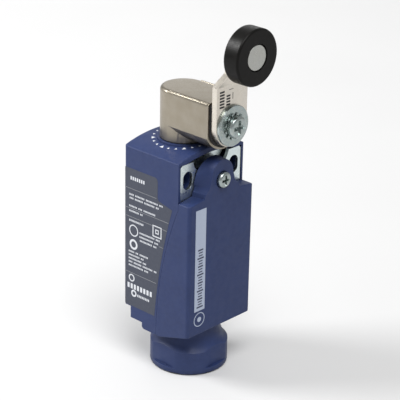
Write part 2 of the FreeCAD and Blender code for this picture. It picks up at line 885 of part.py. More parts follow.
def build_front_cover():
    """The snap-over cover: front wall, sides, sloping foot round the neck and the hump for its screw."""
    gap = d.parting_gap
    foot_back = parting_foot - gap
    outline = [
        (rim - gap, cover_head),
        (cover_front, cover_head),
        (cover_front, d.cover_foot),
        (parting_foot - d.heel_slope, d.sole_height),
        (foot_back, d.sole_height),
        (rim - gap, parting_top, parting_mid[0] - gap, parting_mid[1]),
    ]
    slab = prism("CoverSlab", "X", (-half_case, half_case), [outline])
    crown = cylinder("CoverCrown", "Y", (0, cover_head - d.cover_crown), (cover_front - PAST, back),
                     d.cover_crown)
    crowned = common("CoverCrowned", slab, crown)
    corners = rounded("CoverCorners", crowned, d.cover_edge_round,
                      lambda edge: lies_at(edge, y=cover_front.value) and edge.BoundBox.ZLength > LONG_EDGE)
    soft = rounded("CoverSoft", corners, d.edge_round, is_cover_front_edge)
    wall = d.cover_wall
    inside = prism("CoverInside", "X", (wall - half_case, half_case - wall), [[
        (rim + CLEAR, cover_ceiling),
        (cover_front + wall, cover_ceiling),
        (cover_front + wall, d.cover_foot + wall),
        (parting_foot - d.heel_slope, d.sole_height + wall),
        (rim + CLEAR, d.sole_height + wall),
    ]])
    neck = cylinder("CoverNeckWay", "Z", (0, 0), (d.sole_height - 2, d.cover_foot + wall),
                    d.neck_radius + d.neck_gap)
    neck_slot = block("CoverNeckSlot", (-d.neck_radius - d.neck_gap, d.neck_radius + d.neck_gap),
                      (0, rim + CLEAR), (d.sole_height - 2, d.cover_foot + wall))
    shell = cut("CoverShell", soft, inside, neck, neck_slot)
    hump = build_hump()
    joined = fuse("CoverJoined", shell, hump)
    sink = cylinder("CoverScrewSink", "Y", (0, cover_screw_height),
                    (cover_front - 2, cover_front + d.cover_screw_sink), d.cover_screw_head + d.fork_gap)
    hole = cylinder("CoverScrewHole", "Y", (0, cover_screw_height),
                    (cover_front - 2, rim + PAST), d.cover_screw_radius + d.fork_gap)
    return sub_part("front_cover", cut("FrontCover", joined, sink, hole))


def is_cover_front_edge(edge):
    """The edges round the cover's front face, apart from its long sides."""
    box = edge.BoundBox
    near_front = box.YMax < cover_front.value + d.cover_edge_round.value + TOUCH
    return near_front and box.ZLength < LONG_EDGE and box.XLength > SHORT_EDGE


def hump_outline(spread):
    """The bell-shaped front of the hump; spread widens it towards the plate."""
    arch = d.hump_arch + spread
    middle = hump_top - d.hump_arch
    waist = arch + d.hump_waist_step
    waist_height = cover_head + d.hump_waist_rise
    flare = d.hump_flare + spread * HUMP_FLARE_SHARE
    flare_height = cover_head + d.hump_flare_rise
    foot = cover_head - d.hump_root
    bend_x = (waist + flare) / 2 - d.hump_hollow_in
    bend_z = (waist_height + flare_height) / 2 - d.hump_hollow_down
    return [
        (-flare - d.hump_skirt, foot),
        (flare + d.hump_skirt, foot),
        (flare, flare_height),
        (waist, waist_height, bend_x, bend_z),
        (arch, middle),
        (-arch, middle, 0, hump_top),
        (-waist, waist_height),
        (-flare, flare_height, -bend_x, bend_z),
    ]


def build_hump():
    """The hump that carries the cover screw, wider at the plate than at the front."""
    sections = []
    for label, y, spread in (("Front", cover_front, 0), ("Back", rim - d.parting_gap, d.hump_back_spread)):
        sketch = doc.addObject("Sketcher::SketchObject", "Hump" + label)
        sketch.Placement = FreeCAD.Placement(Vector(), Rotation(Vector(1, 0, 0), 90))
        put(sketch, y=y)
        add_outline(sketch, hump_outline(as_size(spread)))
        sections.append(sketch)
    loft = doc.addObject("Part::Loft", "HumpLoft")
    loft.Sections = sections
    loft.Solid = True
    loft.Ruled = True
    return loft


def build_cover_gasket():
    """A closed rubber ring lying inside the parting line."""
    outer_half = inner_side - d.gasket_gap
    foot = d.floor_top + d.gasket_gap
    head = cover_ceiling - d.gasket_gap
    thick = d.gasket_thickness
    shift = d.parting_gap * 2
    band = prism("GasketBand", "X", (-outer_half, outer_half), [[
        (rim + shift, head),
        (rim + shift - thick, head),
        (rim + shift - thick, parting_top),
        (parting_foot - thick - d.gasket_foot_inset, foot, parting_mid[0] - thick, parting_mid[1]),
        (parting_foot - d.gasket_foot_inset, foot),
        (rim + shift, parting_top, parting_mid[0], parting_mid[1]),
    ]])
    middle = block("GasketMiddle", (d.gasket_width - outer_half, outer_half - d.gasket_width),
                   (rim - 5, parting_foot + 5), (foot + d.gasket_bar, head - d.gasket_bar))
    return sub_part("cover_gasket", cut("CoverGasket", band, middle))


def build_cover_screw():
    seat = cover_front + d.cover_screw_sink
    screw = pan_screw("CoverScrew", (0, cover_screw_height), seat, d.cover_screw_head,
                      d.cover_screw_proud + d.cover_screw_sink, d.cover_screw_radius,
                      seat + d.cover_screw_reach)
    return sub_part("cover_screw", screw)


def build_screw_insert():
    start = plate_back + d.fork_gap
    return sub_part("screw_insert", ring("ScrewInsert", "Y", (0, cover_screw_height),
                                         (start, start + d.insert_length), d.insert_bore, d.insert_radius))


def build_fixing_plate():
    """The slotted metal plate across the top of the case, with a window for the latch tab."""
    half = plate_half_width
    corner = d.plate_corner
    outline = [
        (-half, plate_foot),
        (half, plate_foot),
        (half, plate_top - corner),
        (half - corner, plate_top),
        (window_half, plate_top),
        (window_half, window_bend),
        (window_half - d.tab_round, window_foot,
         window_half - d.tab_round * DIAGONAL_IN, window_bend - d.tab_round * DIAGONAL),
        (d.tab_round - window_half, window_foot),
        (-window_half, window_bend,
         d.tab_round * DIAGONAL_IN - window_half, window_bend - d.tab_round * DIAGONAL),
        (-window_half, plate_top),
        (corner - half, plate_top),
        (-half, plate_top - corner),
    ]
    slots = [slot_outline(d.fixing_spacing / 2 * side, d.fixing_radius, d.fixing_slot, fixing_height)
             for side in (-1, 1)]
    screw_hole = (0, cover_screw_height, d.cover_screw_radius + d.plate_screw_gap)
    return sub_part("fixing_plate", prism("FixingPlate", "Y", (plate_front, plate_back),
                                          [outline] + slots, [screw_hole]))


def build_latch_fork():
    """A U-shaped fork in the turret's groove with a D-shaped tab bent down at the front."""
    half = d.fork_half_width
    slot_half = groove_radius + d.fork_play
    end = turret_y + d.fork_tine_end
    fork = prism("ForkPlate", "Z", (fork_foot, fork_top), [[
        (-half, tab_front),
        (half, tab_front),
        (half, end),
        (slot_half, end),
        (slot_half, turret_y),
        (-slot_half, turret_y, 0, turret_y - slot_half),
        (-slot_half, end),
        (-half, end),
    ]])
    bend = tab_foot + d.tab_round
    tab = prism("ForkTab", "Y", (tab_front, tab_front + d.tab_thickness), [[
        (-half, fork_top),
        (-half, bend),
        (d.tab_round - half, tab_foot,
         d.tab_round * DIAGONAL_IN - half, bend - d.tab_round * DIAGONAL),
        (half - d.tab_round, tab_foot),
        (half, bend,
         half - d.tab_round * DIAGONAL_IN, bend - d.tab_round * DIAGONAL),
        (half, fork_top),
    ]])
    joined = fuse("ForkJoined", fork, tab)
    soft = rounded("LatchFork", joined, d.edge_round,
                   lambda edge: lies_at(edge, y=tab_front.value, z=fork_top.value))
    return sub_part("latch_fork", soft)


# ---------------------------------------------------------------- head
def build_head_housing():
    """The die-cast turret head: half round at the back, square at the front, spigot below."""
    radius = head_radius
    upper = prism("HeadUpper", "Z", (head_foot, head_top), [[
        (-radius, head_front),
        (radius, head_front),
        (radius, turret_y),
        (-radius, turret_y, 0, turret_y + radius),
    ]])
    soft = rounded("HeadSoft", upper, d.head_round, is_head_back_edge)
    below = block("BellyBlock", (-radius - PAST, radius + PAST), (head_front - PAST, turret_y),
                  (head_foot - PAST, shaft_height))
    belly = cylinder("Belly", "Y", on_shaft, (head_front - 2, turret_y), belly_radius)
    undercut_tool = cut("BellyUndercut", below, belly)
    trimmed = cut("HeadTrimmed", soft, undercut_tool)
    turret = cylinder("Turret", "Z", on_turret, (head_foot, shaft_height), head_radius)
    groove = (fork_foot - d.fork_gap, fork_top + d.fork_gap)
    spigot = turned("Spigot", "Z", on_turret, [
        (spigot_foot, 0),
        (spigot_foot, spigot_radius),
        (groove[0], spigot_radius),
        (groove[0], groove_radius),
        (groove[1], groove_radius),
        (groove[1], spigot_radius),
        (head_foot + PAST, spigot_radius),
        (head_foot + PAST, 0),
    ])
    solid = fuse("HeadSolid", trimmed, turret, spigot)
    chamber = cylinder("CamChamber", "Z", on_turret, (chamber_foot, chamber_top), d.chamber_radius)
    coil_chamber = cylinder("CoilChamber", "Y", on_shaft, (bearing_back, turret_y), d.coil_chamber_radius)
    bush_bore = cylinder("BushBore", "Y", on_shaft, (head_front - PAST, bearing_back + PAST), d.bush_radius)
    journal = cylinder("JournalBore", "Y", on_shaft,
                       (chamber_back - PAST, chamber_back + d.journal_length + d.running_gap * 2),
                       d.journal_radius + d.running_gap)
    pocket = cylinder("PlungerPocket", "Z", on_turret, (spigot_foot - PAST, chamber_foot + PAST),
                      d.pocket_radius)
    hollows = [chamber, coil_chamber, bush_bore, journal, pocket]
    return sub_part("head_housing", cut("HeadHousing", solid, *hollows))


def is_head_back_edge(edge):
    """The half-round top edge at the back of the head."""
    box = edge.BoundBox
    return box.ZMin > head_top.value - TOUCH and box.YMax > turret_y.value + 1


def build_head_small_parts():
    sub_part("head_seal_ring", ring("HeadSealRing", "Z", on_turret,
                                    (seat_top + d.seal_ring_gap, head_foot - d.seal_ring_gap),
                                    d.bore_radius, head_radius - d.running_gap))
    bush_front = bearing_back - d.bush_length
    sub_part("shaft_bush", ring("ShaftBush", "Y", on_shaft, (bush_front, bearing_back),
                                d.shaft_radius + d.running_gap, d.bush_radius))
    sub_part("shaft_seal", ring("ShaftSeal", "Y", on_shaft, (head_front, bush_front - d.running_gap),
                                d.shaft_radius + d.lip_seal_gap, d.bush_radius - d.running_gap))
    sub_part("plunger_guide", ring("PlungerGuide", "Z", on_turret, (spigot_foot, pocket_floor),
                                   d.plunger_radius + d.running_gap, d.pocket_radius))
    half = head_radius - d.flange_inset
    curve = belly_radius - d.flange_inset
    meet = shaft_height - (curve * curve - half * half).root()
    top = head_top - d.flange_inset
    sub_part("flange_seal", prism("FlangeSeal", "Y", (head_front - d.flange_thickness, head_front), [[
        (-half, meet),
        (half, meet, 0, shaft_height - curve),
        (half, top),
        (-half, top),
    ]], [(0, shaft_height, d.shaft_radius + d.lip_seal_gap)]))


def build_operating_shaft():
    """The stepped shaft from the rear journal to the lever, tapped at the front for the lever screw."""
    end = lever_front + d.shaft_end_inset
    hole = d.lever_screw_radius + d.screw_hole_gap
    hole_end = washer_front + d.lever_screw_reach + 1
    sub_part("operating_shaft", turned("OperatingShaft", "Y", on_shaft, [
        (end, hole),
        (hole_end, hole),
        (hole_end + hole / 2, 0),
        (chamber_back + d.journal_length, 0),
        (chamber_back + d.journal_length, d.journal_radius),
        (chamber_back - d.journal_shoulder, d.journal_radius),
        (chamber_back - d.journal_shoulder, d.shaft_radius),
        (end, d.shaft_radius),
    ]))
    flat = shaft_height - d.cam_flat
    edge = (d.cam_radius * d.cam_radius - d.cam_flat * d.cam_flat).root()
    sub_part("cam", prism("Cam", "Y", (turret_y - d.cam_thickness / 2, turret_y + d.cam_thickness / 2), [[
        (edge, flat),
        (-edge, flat, 0, shaft_height + d.cam_radius),
    ]], [(0, shaft_height, d.shaft_radius)]))
    cam_front = turret_y - d.cam_thickness / 2
    sub_part("return_spring", coil("ReturnSpring", "Y", on_shaft,
                                   (bearing_back + d.spring_end_gap, cam_front - d.spring_end_gap * 3),
                                   d.return_coil_radius, d.return_wire, d.return_pitch))


def build_head_plunger():
    cap_foot = plunger_top - d.plunger_cap
    dome = d.plunger_cap / 2
    bulge, bulge_radius = dome_middle(dome, d.plunger_cap_radius)
    sub_part("head_plunger", turned("HeadPlunger", "Z", on_turret, [
        (plunger_foot, 0),
        (plunger_foot, d.plunger_radius),
        (cap_foot, d.plunger_radius),
        (cap_foot, d.plunger_cap_radius),
        (plunger_top - dome, d.plunger_cap_radius),
        (plunger_top, 0, plunger_top - dome + bulge, bulge_radius),
    ]))
    sub_part("plunger_spring", coil("PlungerSpring", "Z", on_turret,
                                    (pocket_floor + d.spring_end_gap, cap_foot - d.spring_end_gap),
                                    d.plunger_coil_radius, d.plunger_wire, d.plunger_pitch))


# ---------------------------------------------------------------- lever
def build_lever_arm():
    """A steel strip with a round end on the shaft, jogged forward below the roller."""
    bend = shaft_height + d.lever_bend_height
    upper_bend = bend + d.lever_bend_rise
    foot = shaft_height - d.lever_half_width
    top = roller_height + d.lever_tip_half_width
    lag = d.lever_thickness * BEND_LAG_SHARE
    strip = prism("LeverStrip", "X", (-d.lever_half_width - PAST, d.lever_half_width + PAST), [[
        (lever_front, foot - PAST),
        (lever_back, foot - PAST),
        (lever_back, bend + lag),
        (arm_back, upper_bend + lag),
        (arm_back, top + PAST),
        (arm_front, top + PAST),
        (arm_front, upper_bend),
        (lever_front, bend),
    ]])
    lowest, highest = bend.value - TOUCH, upper_bend.value + NEAR
    smooth = rounded("LeverBends", strip, d.lever_bend_round,
                     lambda edge: runs_along(edge, "x") and lowest < edge.BoundBox.ZMin < highest)
    half, tip = d.lever_half_width, d.lever_tip_half_width
    outline = prism("LeverOutline", "Y", (arm_front - PAST, lever_back + PAST), [[
        (-half, shaft_height),
        (half, shaft_height, 0, foot),
        (half, bend),
        (tip, upper_bend),
        (tip, roller_height),
        (-tip, roller_height, 0, top),
        (-tip, upper_bend),
        (-half, bend),
    ]])
    blank = common("LeverBlank", smooth, outline)
    shaft_hole = cylinder("LeverShaftHole", "Y", on_shaft, (lever_front - PAST, lever_back + PAST),
                          d.shaft_radius)
    rivet_hole = cylinder("LeverRivetHole", "Y", (0, roller_height), (arm_front - PAST, arm_back + PAST),
                          d.rivet_radius)
    return sub_part("lever_arm", cut("LeverArm", blank, shaft_hole, rivet_hole))


def build_lever_fasteners():
    hole = d.lever_screw_radius + d.screw_hole_gap * 4
    washer = turned("LeverWasher", "Y", on_shaft, [
        (lever_front, hole),
        (lever_front, d.washer_radius),
        (washer_front + d.washer_chamfer, d.washer_radius),
        (washer_front, d.washer_radius - d.washer_chamfer),
        (washer_front, hole),
    ])
    sub_part("lever_washer", washer)
    sub_part("lock_washer", ring("LockWasher", "Y", on_shaft, (lock_front, washer_front), hole,
                                 d.lock_washer_radius))
    sub_part("lever_screw", pan_screw("LeverScrew", on_shaft, lock_front, d.lever_screw_head,
                                      d.lever_screw_head_height, d.lever_screw_radius,
                                      washer_front + d.lever_screw_reach))


def build_roller():
    """A black roller with rounded rims and a recess for the rivet's head."""
    bore = d.rivet_radius + d.running_gap
    recess = d.rivet_head_radius + d.hub_gap
    floor = roller_front + d.hub_recess
    corner = d.roller_round
    rim_in = d.roller_radius - corner
    middle = d.roller_radius - corner * DIAGONAL_IN
    sub_part("roller", turned("Roller", "Y", (0, roller_height), [
        (roller_back, bore),
        (roller_back, rim_in),
        (roller_back - corner, d.roller_radius, roller_back - corner * DIAGONAL_IN, middle),
        (roller_front + corner, d.roller_radius),
        (roller_front, rim_in, roller_front + corner * DIAGONAL_IN, middle),
        (roller_front, recess),
        (floor, recess),
        (floor, bore),
    ]))
    head_back = floor - d.running_gap
    head_front_face = head_back - d.rivet_head
    sub_part("roller_rivet", turned("RollerRivet", "Y", (0, roller_height), [
        (head_front_face, 0),
        (head_front_face, d.rivet_head_radius - d.rivet_chamfer),
        (head_front_face + d.rivet_chamfer, d.rivet_head_radius),
        (head_back, d.rivet_head_radius),
        (head_back, d.rivet_radius),
        (roller_back + d.running_gap, d.rivet_radius),
        (roller_back + d.running_gap, d.rivet_head_radius),
        (arm_front, d.rivet_head_radius),
        (arm_front, d.rivet_radius),
        (arm_back, d.rivet_radius),
        (arm_back, d.rivet_head_radius),
        (arm_back + d.rivet_tail, d.rivet_head_radius - d.rivet_tail_taper),
        (arm_back + d.rivet_tail, 0),
    ]))


# ---------------------------------------------------------------- contact block
SIDES = (("left", -1), ("right", 1))
LEVELS = (("lower", -1), ("upper", 1))
chamber_front = block_front + d.block_wall
chamber_far = block_back - d.block_wall
contact_levels = {-1: block_middle - d.terminal_level, 1: block_middle + d.terminal_level}
carrier_top = plunger_foot - d.carrier_gap
# the moving bridges rest against the upper tips and stop just short of the lower ones
tip_face = {
    -1: contact_levels[-1] + d.terminal_thickness / 2 + d.tip_height,
    1: contact_levels[1] - d.terminal_thickness / 2 - d.tip_height,
}
bridge_foot = {
    -1: tip_face[-1] + d.travel + d.carrier_gap,
    1: tip_face[1] - d.bridge_thickness - d.carrier_gap,
}


def build_contact_block():
    half = block_half_width
    body = block("BlockBody", (-half, half), (block_front, block_back), (block_foot, block_top))
    soft = rounded("BlockSoft", body, d.edge_round * 2, lambda edge: lies_at(edge, y=block_front.value))
    chamber = block("BlockChamber", (-d.chamber_half_width, d.chamber_half_width),
                    (block_front - PAST, chamber_far),
                    (block_foot + d.block_wall, block_top - d.block_wall))
    plunger_way = cylinder("BlockPlungerWay", "Z", on_turret,
                           (block_top - d.block_wall - PAST, block_top + PAST), d.carrier_way_radius)
    holes = [chamber, plunger_way]
    for side_name, side in SIDES:
        x = terminal_offset * side
        for level_name, level in LEVELS:
            z = contact_levels[level]
            label = level_name.title() + side_name.title()
            holes.append(block("Pocket" + label, (x - d.pocket_half_width, x + d.pocket_half_width),
                               (block_front - PAST, pocket_back),
                               (z - d.pocket_half_height, z + d.pocket_half_height)))
            inner = (d.chamber_half_width - PAST) * side
            outer = (terminal_offset - d.pocket_half_width + PAST) * side
            across = (inner, outer) if side > 0 else (outer, inner)
            arm_way_front = terminal_back - d.terminal_thickness * 3
            holes.append(block("ArmWay" + label, across,
                               (arm_way_front, terminal_back + d.running_gap),
                               (z - d.terminal_thickness / 2 - d.running_gap,
                                z + d.terminal_thickness / 2 + d.running_gap)))
        screw_x = block_screw_offset * side
        screw_name = side_name.title()
        holes.append(cylinder("BlockScrewWay" + screw_name, "Y", (screw_x, block_middle),
                              (block_front - PAST, block_back + PAST), d.block_screw_radius + d.fork_gap))
        holes.append(cylinder("BlockScrewSink" + screw_name, "Y", (screw_x, block_middle),
                              (block_front - PAST, block_front + d.block_wall * 2),
                              d.block_screw_head + d.fork_gap))
    sub_part("contact_block_housing", cut("BlockHousing", soft, *holes))
    cover_half = d.chamber_half_width - d.carrier_gap
    edge = d.block_wall + d.carrier_gap
    sub_part("contact_block_cover", block("BlockCover", (-cover_half, cover_half),
                                          (block_front, chamber_front - d.block_wall / 4),
                                          (block_foot + edge, block_top - edge)))


def build_carrier():
    """The sliding stem with a window for each moving bridge."""
    half = d.carrier_half_width
    stem = block("CarrierStem", (-half, half), (turret_y - half, turret_y + half),
                 (carrier_foot, carrier_top))
    windows = []
    for name, level in LEVELS:
        low, high = window_span(level)
        windows.append(block("CarrierWindow" + name.title(), (-half - PAST, half + PAST),
                             (turret_y - d.bridge_half_depth - d.carrier_gap,
                              turret_y + d.bridge_half_depth + d.carrier_gap),
                             (low, high)))
    sub_part("contact_carrier", cut("Carrier", stem, *windows))


def window_span(level):
    """Window heights: the bridge at the contact end, its spring in the rest."""
    if level > 0:
        top = bridge_foot[1] + d.bridge_thickness + d.carrier_gap / 2
        return top - d.carrier_window, top
    low = bridge_foot[-1] - d.carrier_gap / 2
    return low, low + d.carrier_window


def build_bridges():
    """A bridge with a contact tip near each end, and the small spring that backs it."""
    springs = []
    for name, level in LEVELS:
        low = bridge_foot[level]
        high = low + d.bridge_thickness
        bar = block("Bar" + name.title(), (-d.bridge_half_width, d.bridge_half_width),
                    (turret_y - d.bridge_half_depth, turret_y + d.bridge_half_depth), (low, high))
        sub_part("contact_bridge_" + name, rounded("Bridge" + name.title(), bar, d.bridge_round,
                                                   lambda edge: runs_along(edge, "y")))
        start, end = window_span(level)
        gap = d.spring_end_gap / 2
        span = (high + gap, end - gap) if level < 0 else (start + gap, low - gap)
        springs.append(coil("BridgeSpring" + name.title(), "Z", on_turret, span,
                            d.bridge_coil_radius, d.bridge_wire, d.bridge_pitch))
    sub_part("contact_springs", group("ContactSprings", *springs))
    sub_part("carrier_spring", coil("CarrierSpring", "Z", on_turret,
                                    (block_foot + d.block_wall + d.spring_end_gap,
                                     carrier_foot - d.spring_end_gap),
                                    d.carrier_coil_radius, d.carrier_wire, d.carrier_pitch))


def build_terminals():
    """Four brass terminals, each with a clamp plate and a captive screw."""
    clamps = []
    screws = []
    face = terminal_back - d.terminal_thickness
    for side_name, side in SIDES:
        x = terminal_offset * side
        for level_name, level in LEVELS:
            label = level_name.title() + side_name.title()
            z = contact_levels[level]
            half = d.terminal_half_width
            plate = block("TerminalPlate" + label, (x - half, x + half), (face, terminal_back),
                          (z - half, z + half))
            near, far = d.contact_reach * side, x - half * side
            across = (near, far) if side > 0 else (far, near)
            arm = block("TerminalArm" + label, across,
                        (terminal_back - d.terminal_arm_depth, terminal_back),
                        (z - d.terminal_thickness / 2, z + d.terminal_thickness / 2))
            tip_x = (d.contact_reach + d.tip_radius + d.carrier_gap) * side
            low, high = (z, tip_face[-1]) if level < 0 else (tip_face[1], z)
            tip = cylinder("Tip" + label, "Z", (tip_x, turret_y), (low, high), d.tip_radius)
            hole = cylinder("TerminalHole" + label, "Y", (x, z), (face - 4, terminal_back + PAST),
                            d.terminal_screw_radius + d.screw_hole_gap)
            sub_part("terminal_%s_%s" % (level_name, side_name),
                     cut("Terminal" + label, fuse("TerminalBlank" + label, plate, arm, tip), hole))
            clamp_back = face - d.screw_hole_gap
            clamp_front = clamp_back - d.clamp_thickness
            clamp = block("ClampBlank" + label, (x - d.clamp_half_width, x + d.clamp_half_width),
                          (clamp_front, clamp_back), (z - d.clamp_half_width, z + d.clamp_half_width))
            clamp_hole = cylinder("ClampHole" + label, "Y", (x, z), (clamp_front - PAST, clamp_back + PAST),
                                  d.terminal_screw_radius + d.screw_hole_gap * 3)
            clamps.append(cut("Clamp" + label, clamp, clamp_hole))
            seat = clamp_front - d.screw_hole_gap
            screws.append(pan_screw("TerminalScrew" + label, (x, z), seat, d.terminal_screw_head,
                                    d.terminal_screw_head_height, d.terminal_screw_radius,
                                    seat + d.terminal_screw_length))
    sub_part("clamp_plates", group("ClampPlates", *clamps))
    sub_part("terminal_screws", group("TerminalScrews", *screws))


def build_block_screws():
    seat = block_front + d.block_wall * 2
    screws = []
    for side_name, side in SIDES:
        screws.append(pan_screw("BlockScrew" + side_name.title(), (block_screw_offset * side, block_middle),
                                seat, d.block_screw_head, d.block_screw_head_height,
                                d.block_screw_radius - d.screw_hole_gap,
                                inner_back + d.block_screw_bite))
    sub_part("block_screws", group("BlockScrews", *screws))


# ---------------------------------------------------------------- printed labels
def build_labels():
    """The grey panel on the left side and the pale strip on the front, printed a hair proud."""
    margin = d.label_margin
    back_edge = back - d.label_back_margin
    shoulder = back - d.label_shoulder_depth
    corner = d.label_round
    top = d.body_top - d.label_drop
    ledge = top - d.label_step
    front = rim + margin * 2
    panel = [
        (back_edge, d.label_foot),
        (back_edge, top),
        (shoulder + corner, top),
        (shoulder, top - corner,
         shoulder + corner * DIAGONAL_IN, top - corner * DIAGONAL_IN),
        (shoulder, ledge + corner),
        (shoulder - corner, ledge,
         shoulder - corner * DIAGONAL_IN, ledge + corner * DIAGONAL_IN),
        (front + corner, ledge - corner),
        (parting_foot + margin, d.label_foot, parting_mid[0] + d.label_mid_margin, parting_mid[1]),
    ]
    sub_part("rating_label", prism("RatingLabel", "X", (-half_case - d.label_thickness, -half_case), [panel]))
    strip_left = d.strip_inset - half_case
    sub_part("front_strip", block("FrontStrip", (strip_left, strip_left + d.strip_width),
                                  (cover_front - d.label_thickness, cover_front),
                                  (d.cover_foot + d.strip_lift, cover_head - d.strip_drop)))


# ---------------------------------------------------------------- the whole switch
build_rear_case()
build_front_cover()
build_cover_gasket()
build_cover_screw()
build_screw_insert()
build_fixing_plate()
build_latch_fork()
build_head_housing()
build_head_small_parts()
build_operating_shaft()
build_head_plunger()
build_lever_arm()
build_lever_fasteners()
build_roller()
build_contact_block()
build_carrier()
build_bridges()
build_terminals()
build_block_screws()
build_labels()

doc.recompute()
for thing in doc.Objects:
    if "Invalid" in thing.State or "Error" in thing.State:
        raise RuntimeError("failed object: " + thing.Name)
for name, thing in sub_parts.items():
    if thing.Shape.isNull() or not thing.Shape.isValid() or not thing.Shape.Solids:
        raise RuntimeError("bad shape: " + name)

os.makedirs("parts", exist_ok=True)
for name, thing in sub_parts.items():
    thing.Shape.exportStep(os.path.join("parts", name + ".step"))
print("%d sub-parts written" % len(sub_parts))
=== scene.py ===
"""Looks of a compact limit switch with a turret head and a side roller lever.

Laid out as a Blender add-on and run as a script. Metres; +Z up, front cover towards -Y. Every place comes
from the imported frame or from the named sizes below.
"""

import json
import math

import bmesh
import bpy
from mathutils import Matrix, Vector


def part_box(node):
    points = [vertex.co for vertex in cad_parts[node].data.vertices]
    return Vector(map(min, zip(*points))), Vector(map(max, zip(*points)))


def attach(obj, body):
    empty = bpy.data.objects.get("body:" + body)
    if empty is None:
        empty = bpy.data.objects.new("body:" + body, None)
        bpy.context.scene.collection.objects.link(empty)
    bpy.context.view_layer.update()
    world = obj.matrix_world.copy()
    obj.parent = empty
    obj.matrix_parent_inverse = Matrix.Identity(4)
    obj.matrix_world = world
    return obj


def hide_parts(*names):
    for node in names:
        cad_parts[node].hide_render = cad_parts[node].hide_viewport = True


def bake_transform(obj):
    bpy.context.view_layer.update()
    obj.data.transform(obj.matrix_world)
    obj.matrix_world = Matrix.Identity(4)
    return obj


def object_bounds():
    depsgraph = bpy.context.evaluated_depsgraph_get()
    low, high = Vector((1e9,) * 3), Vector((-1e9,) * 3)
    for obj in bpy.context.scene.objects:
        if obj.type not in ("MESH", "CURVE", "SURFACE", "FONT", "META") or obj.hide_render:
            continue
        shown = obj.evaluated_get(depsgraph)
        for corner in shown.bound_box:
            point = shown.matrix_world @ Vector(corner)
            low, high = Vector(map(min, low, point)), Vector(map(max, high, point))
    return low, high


bl_info = {
    "name": "Limit Switch Looks",
    "version": (1, 0, 0),
    "blender": (4, 5, 0),
    "location": "3D View > Sidebar > Limit Switch",
    "description": "Finishes, printed marks, fasteners and studio for a roller-lever limit switch",
    "category": "Object",
}

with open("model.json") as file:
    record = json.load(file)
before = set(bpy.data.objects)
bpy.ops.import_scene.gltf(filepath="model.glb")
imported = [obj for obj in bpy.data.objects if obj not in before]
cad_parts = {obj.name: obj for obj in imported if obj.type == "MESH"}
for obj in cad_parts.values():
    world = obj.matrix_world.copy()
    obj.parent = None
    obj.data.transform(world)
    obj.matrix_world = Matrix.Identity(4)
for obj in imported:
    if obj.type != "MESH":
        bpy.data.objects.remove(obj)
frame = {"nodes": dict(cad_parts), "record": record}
CAD_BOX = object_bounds()
MM = 0.001
QUARTER = math.pi / 2
# how near two values are taken as the same, and how far a tool reaches past what it cuts
TOUCHING = 1e-6
PAST = 1 * MM


# ---------------------------------------------------------------- settings a user would change
class SwitchColours(bpy.types.PropertyGroup):
    body: bpy.props.FloatVectorProperty(
        name="Body", description="Moulded plastic of the case and the cover",
        subtype="COLOR", size=3, default=(0.018, 0.032, 0.103))
    casting: bpy.props.FloatVectorProperty(
        name="Head casting", description="Nickel plating on the die-cast head",
        subtype="COLOR", size=3, default=(0.34, 0.306, 0.252))
    lever: bpy.props.FloatVectorProperty(
        name="Lever", description="Nickel-plated sheet steel of the lever",
        subtype="COLOR", size=3, default=(0.71, 0.66, 0.58))
    rivet: bpy.props.FloatVectorProperty(
        name="Rivet", description="Bare steel of the roller's rivet",
        subtype="COLOR", size=3, default=(0.47, 0.47, 0.44))
    zinc: bpy.props.FloatVectorProperty(
        name="Zinc plating", description="Screws and washers",
        subtype="COLOR", size=3, default=(0.39, 0.43, 0.44))
    plate: bpy.props.FloatVectorProperty(
        name="Steel plate", description="Fixing plate, latch and shaft",
        subtype="COLOR", size=3, default=(0.74, 0.82, 0.82))
    roller: bpy.props.FloatVectorProperty(
        name="Roller", description="Black thermoplastic of the roller",
        subtype="COLOR", size=3, default=(0.004, 0.0037, 0.0034))
    label: bpy.props.FloatVectorProperty(
        name="Label", description="Grey panel printed on the side",
        subtype="COLOR", size=3, default=(0.047, 0.054, 0.078))
    strip: bpy.props.FloatVectorProperty(
        name="Strip", description="Pale strip on the front cover",
        subtype="COLOR", size=3, default=(0.36, 0.41, 0.52))
    ink: bpy.props.FloatVectorProperty(
        name="Light ink", description="White print on the body",
        subtype="COLOR", size=3, default=(0.62, 0.64, 0.68))


class SwitchSizes(bpy.types.PropertyGroup):
    edge_break: bpy.props.FloatProperty(
        name="Edge break", description="Rounding of sharp metal edges",
        unit="LENGTH", default=0.25 * MM)
    print_film: bpy.props.FloatProperty(
        name="Print film", description="Thickness of a printed mark",
        unit="LENGTH", default=0.02 * MM)
    scale_radius: bpy.props.FloatProperty(
        name="Index radius", description="Radius of the ring of index marks round the turret",
        unit="LENGTH", default=10.25 * MM)
    scale_large: bpy.props.FloatProperty(
        name="Large index mark", description="Circumradius of the triangle at every third mark",
        unit="LENGTH", default=0.85 * MM)
    scale_small: bpy.props.FloatProperty(
        name="Small index mark", description="Circumradius of the other triangles",
        unit="LENGTH", default=0.55 * MM)
    scale_count: bpy.props.IntProperty(
        name="Index marks", description="Marks in a full turn of the head", default=24)
    lip_radius: bpy.props.FloatProperty(
        name="Head lip", description="Radius of the bead along the head's top edges",
        unit="LENGTH", default=0.36 * MM)
    thread_pitch: bpy.props.FloatProperty(
        name="Entry thread pitch", description="Pitch of the cable entry's thread",
        unit="LENGTH", default=1.5 * MM)
    tooth_count: bpy.props.IntProperty(
        name="Lock washer teeth", description="Teeth round the lock washer", default=12)


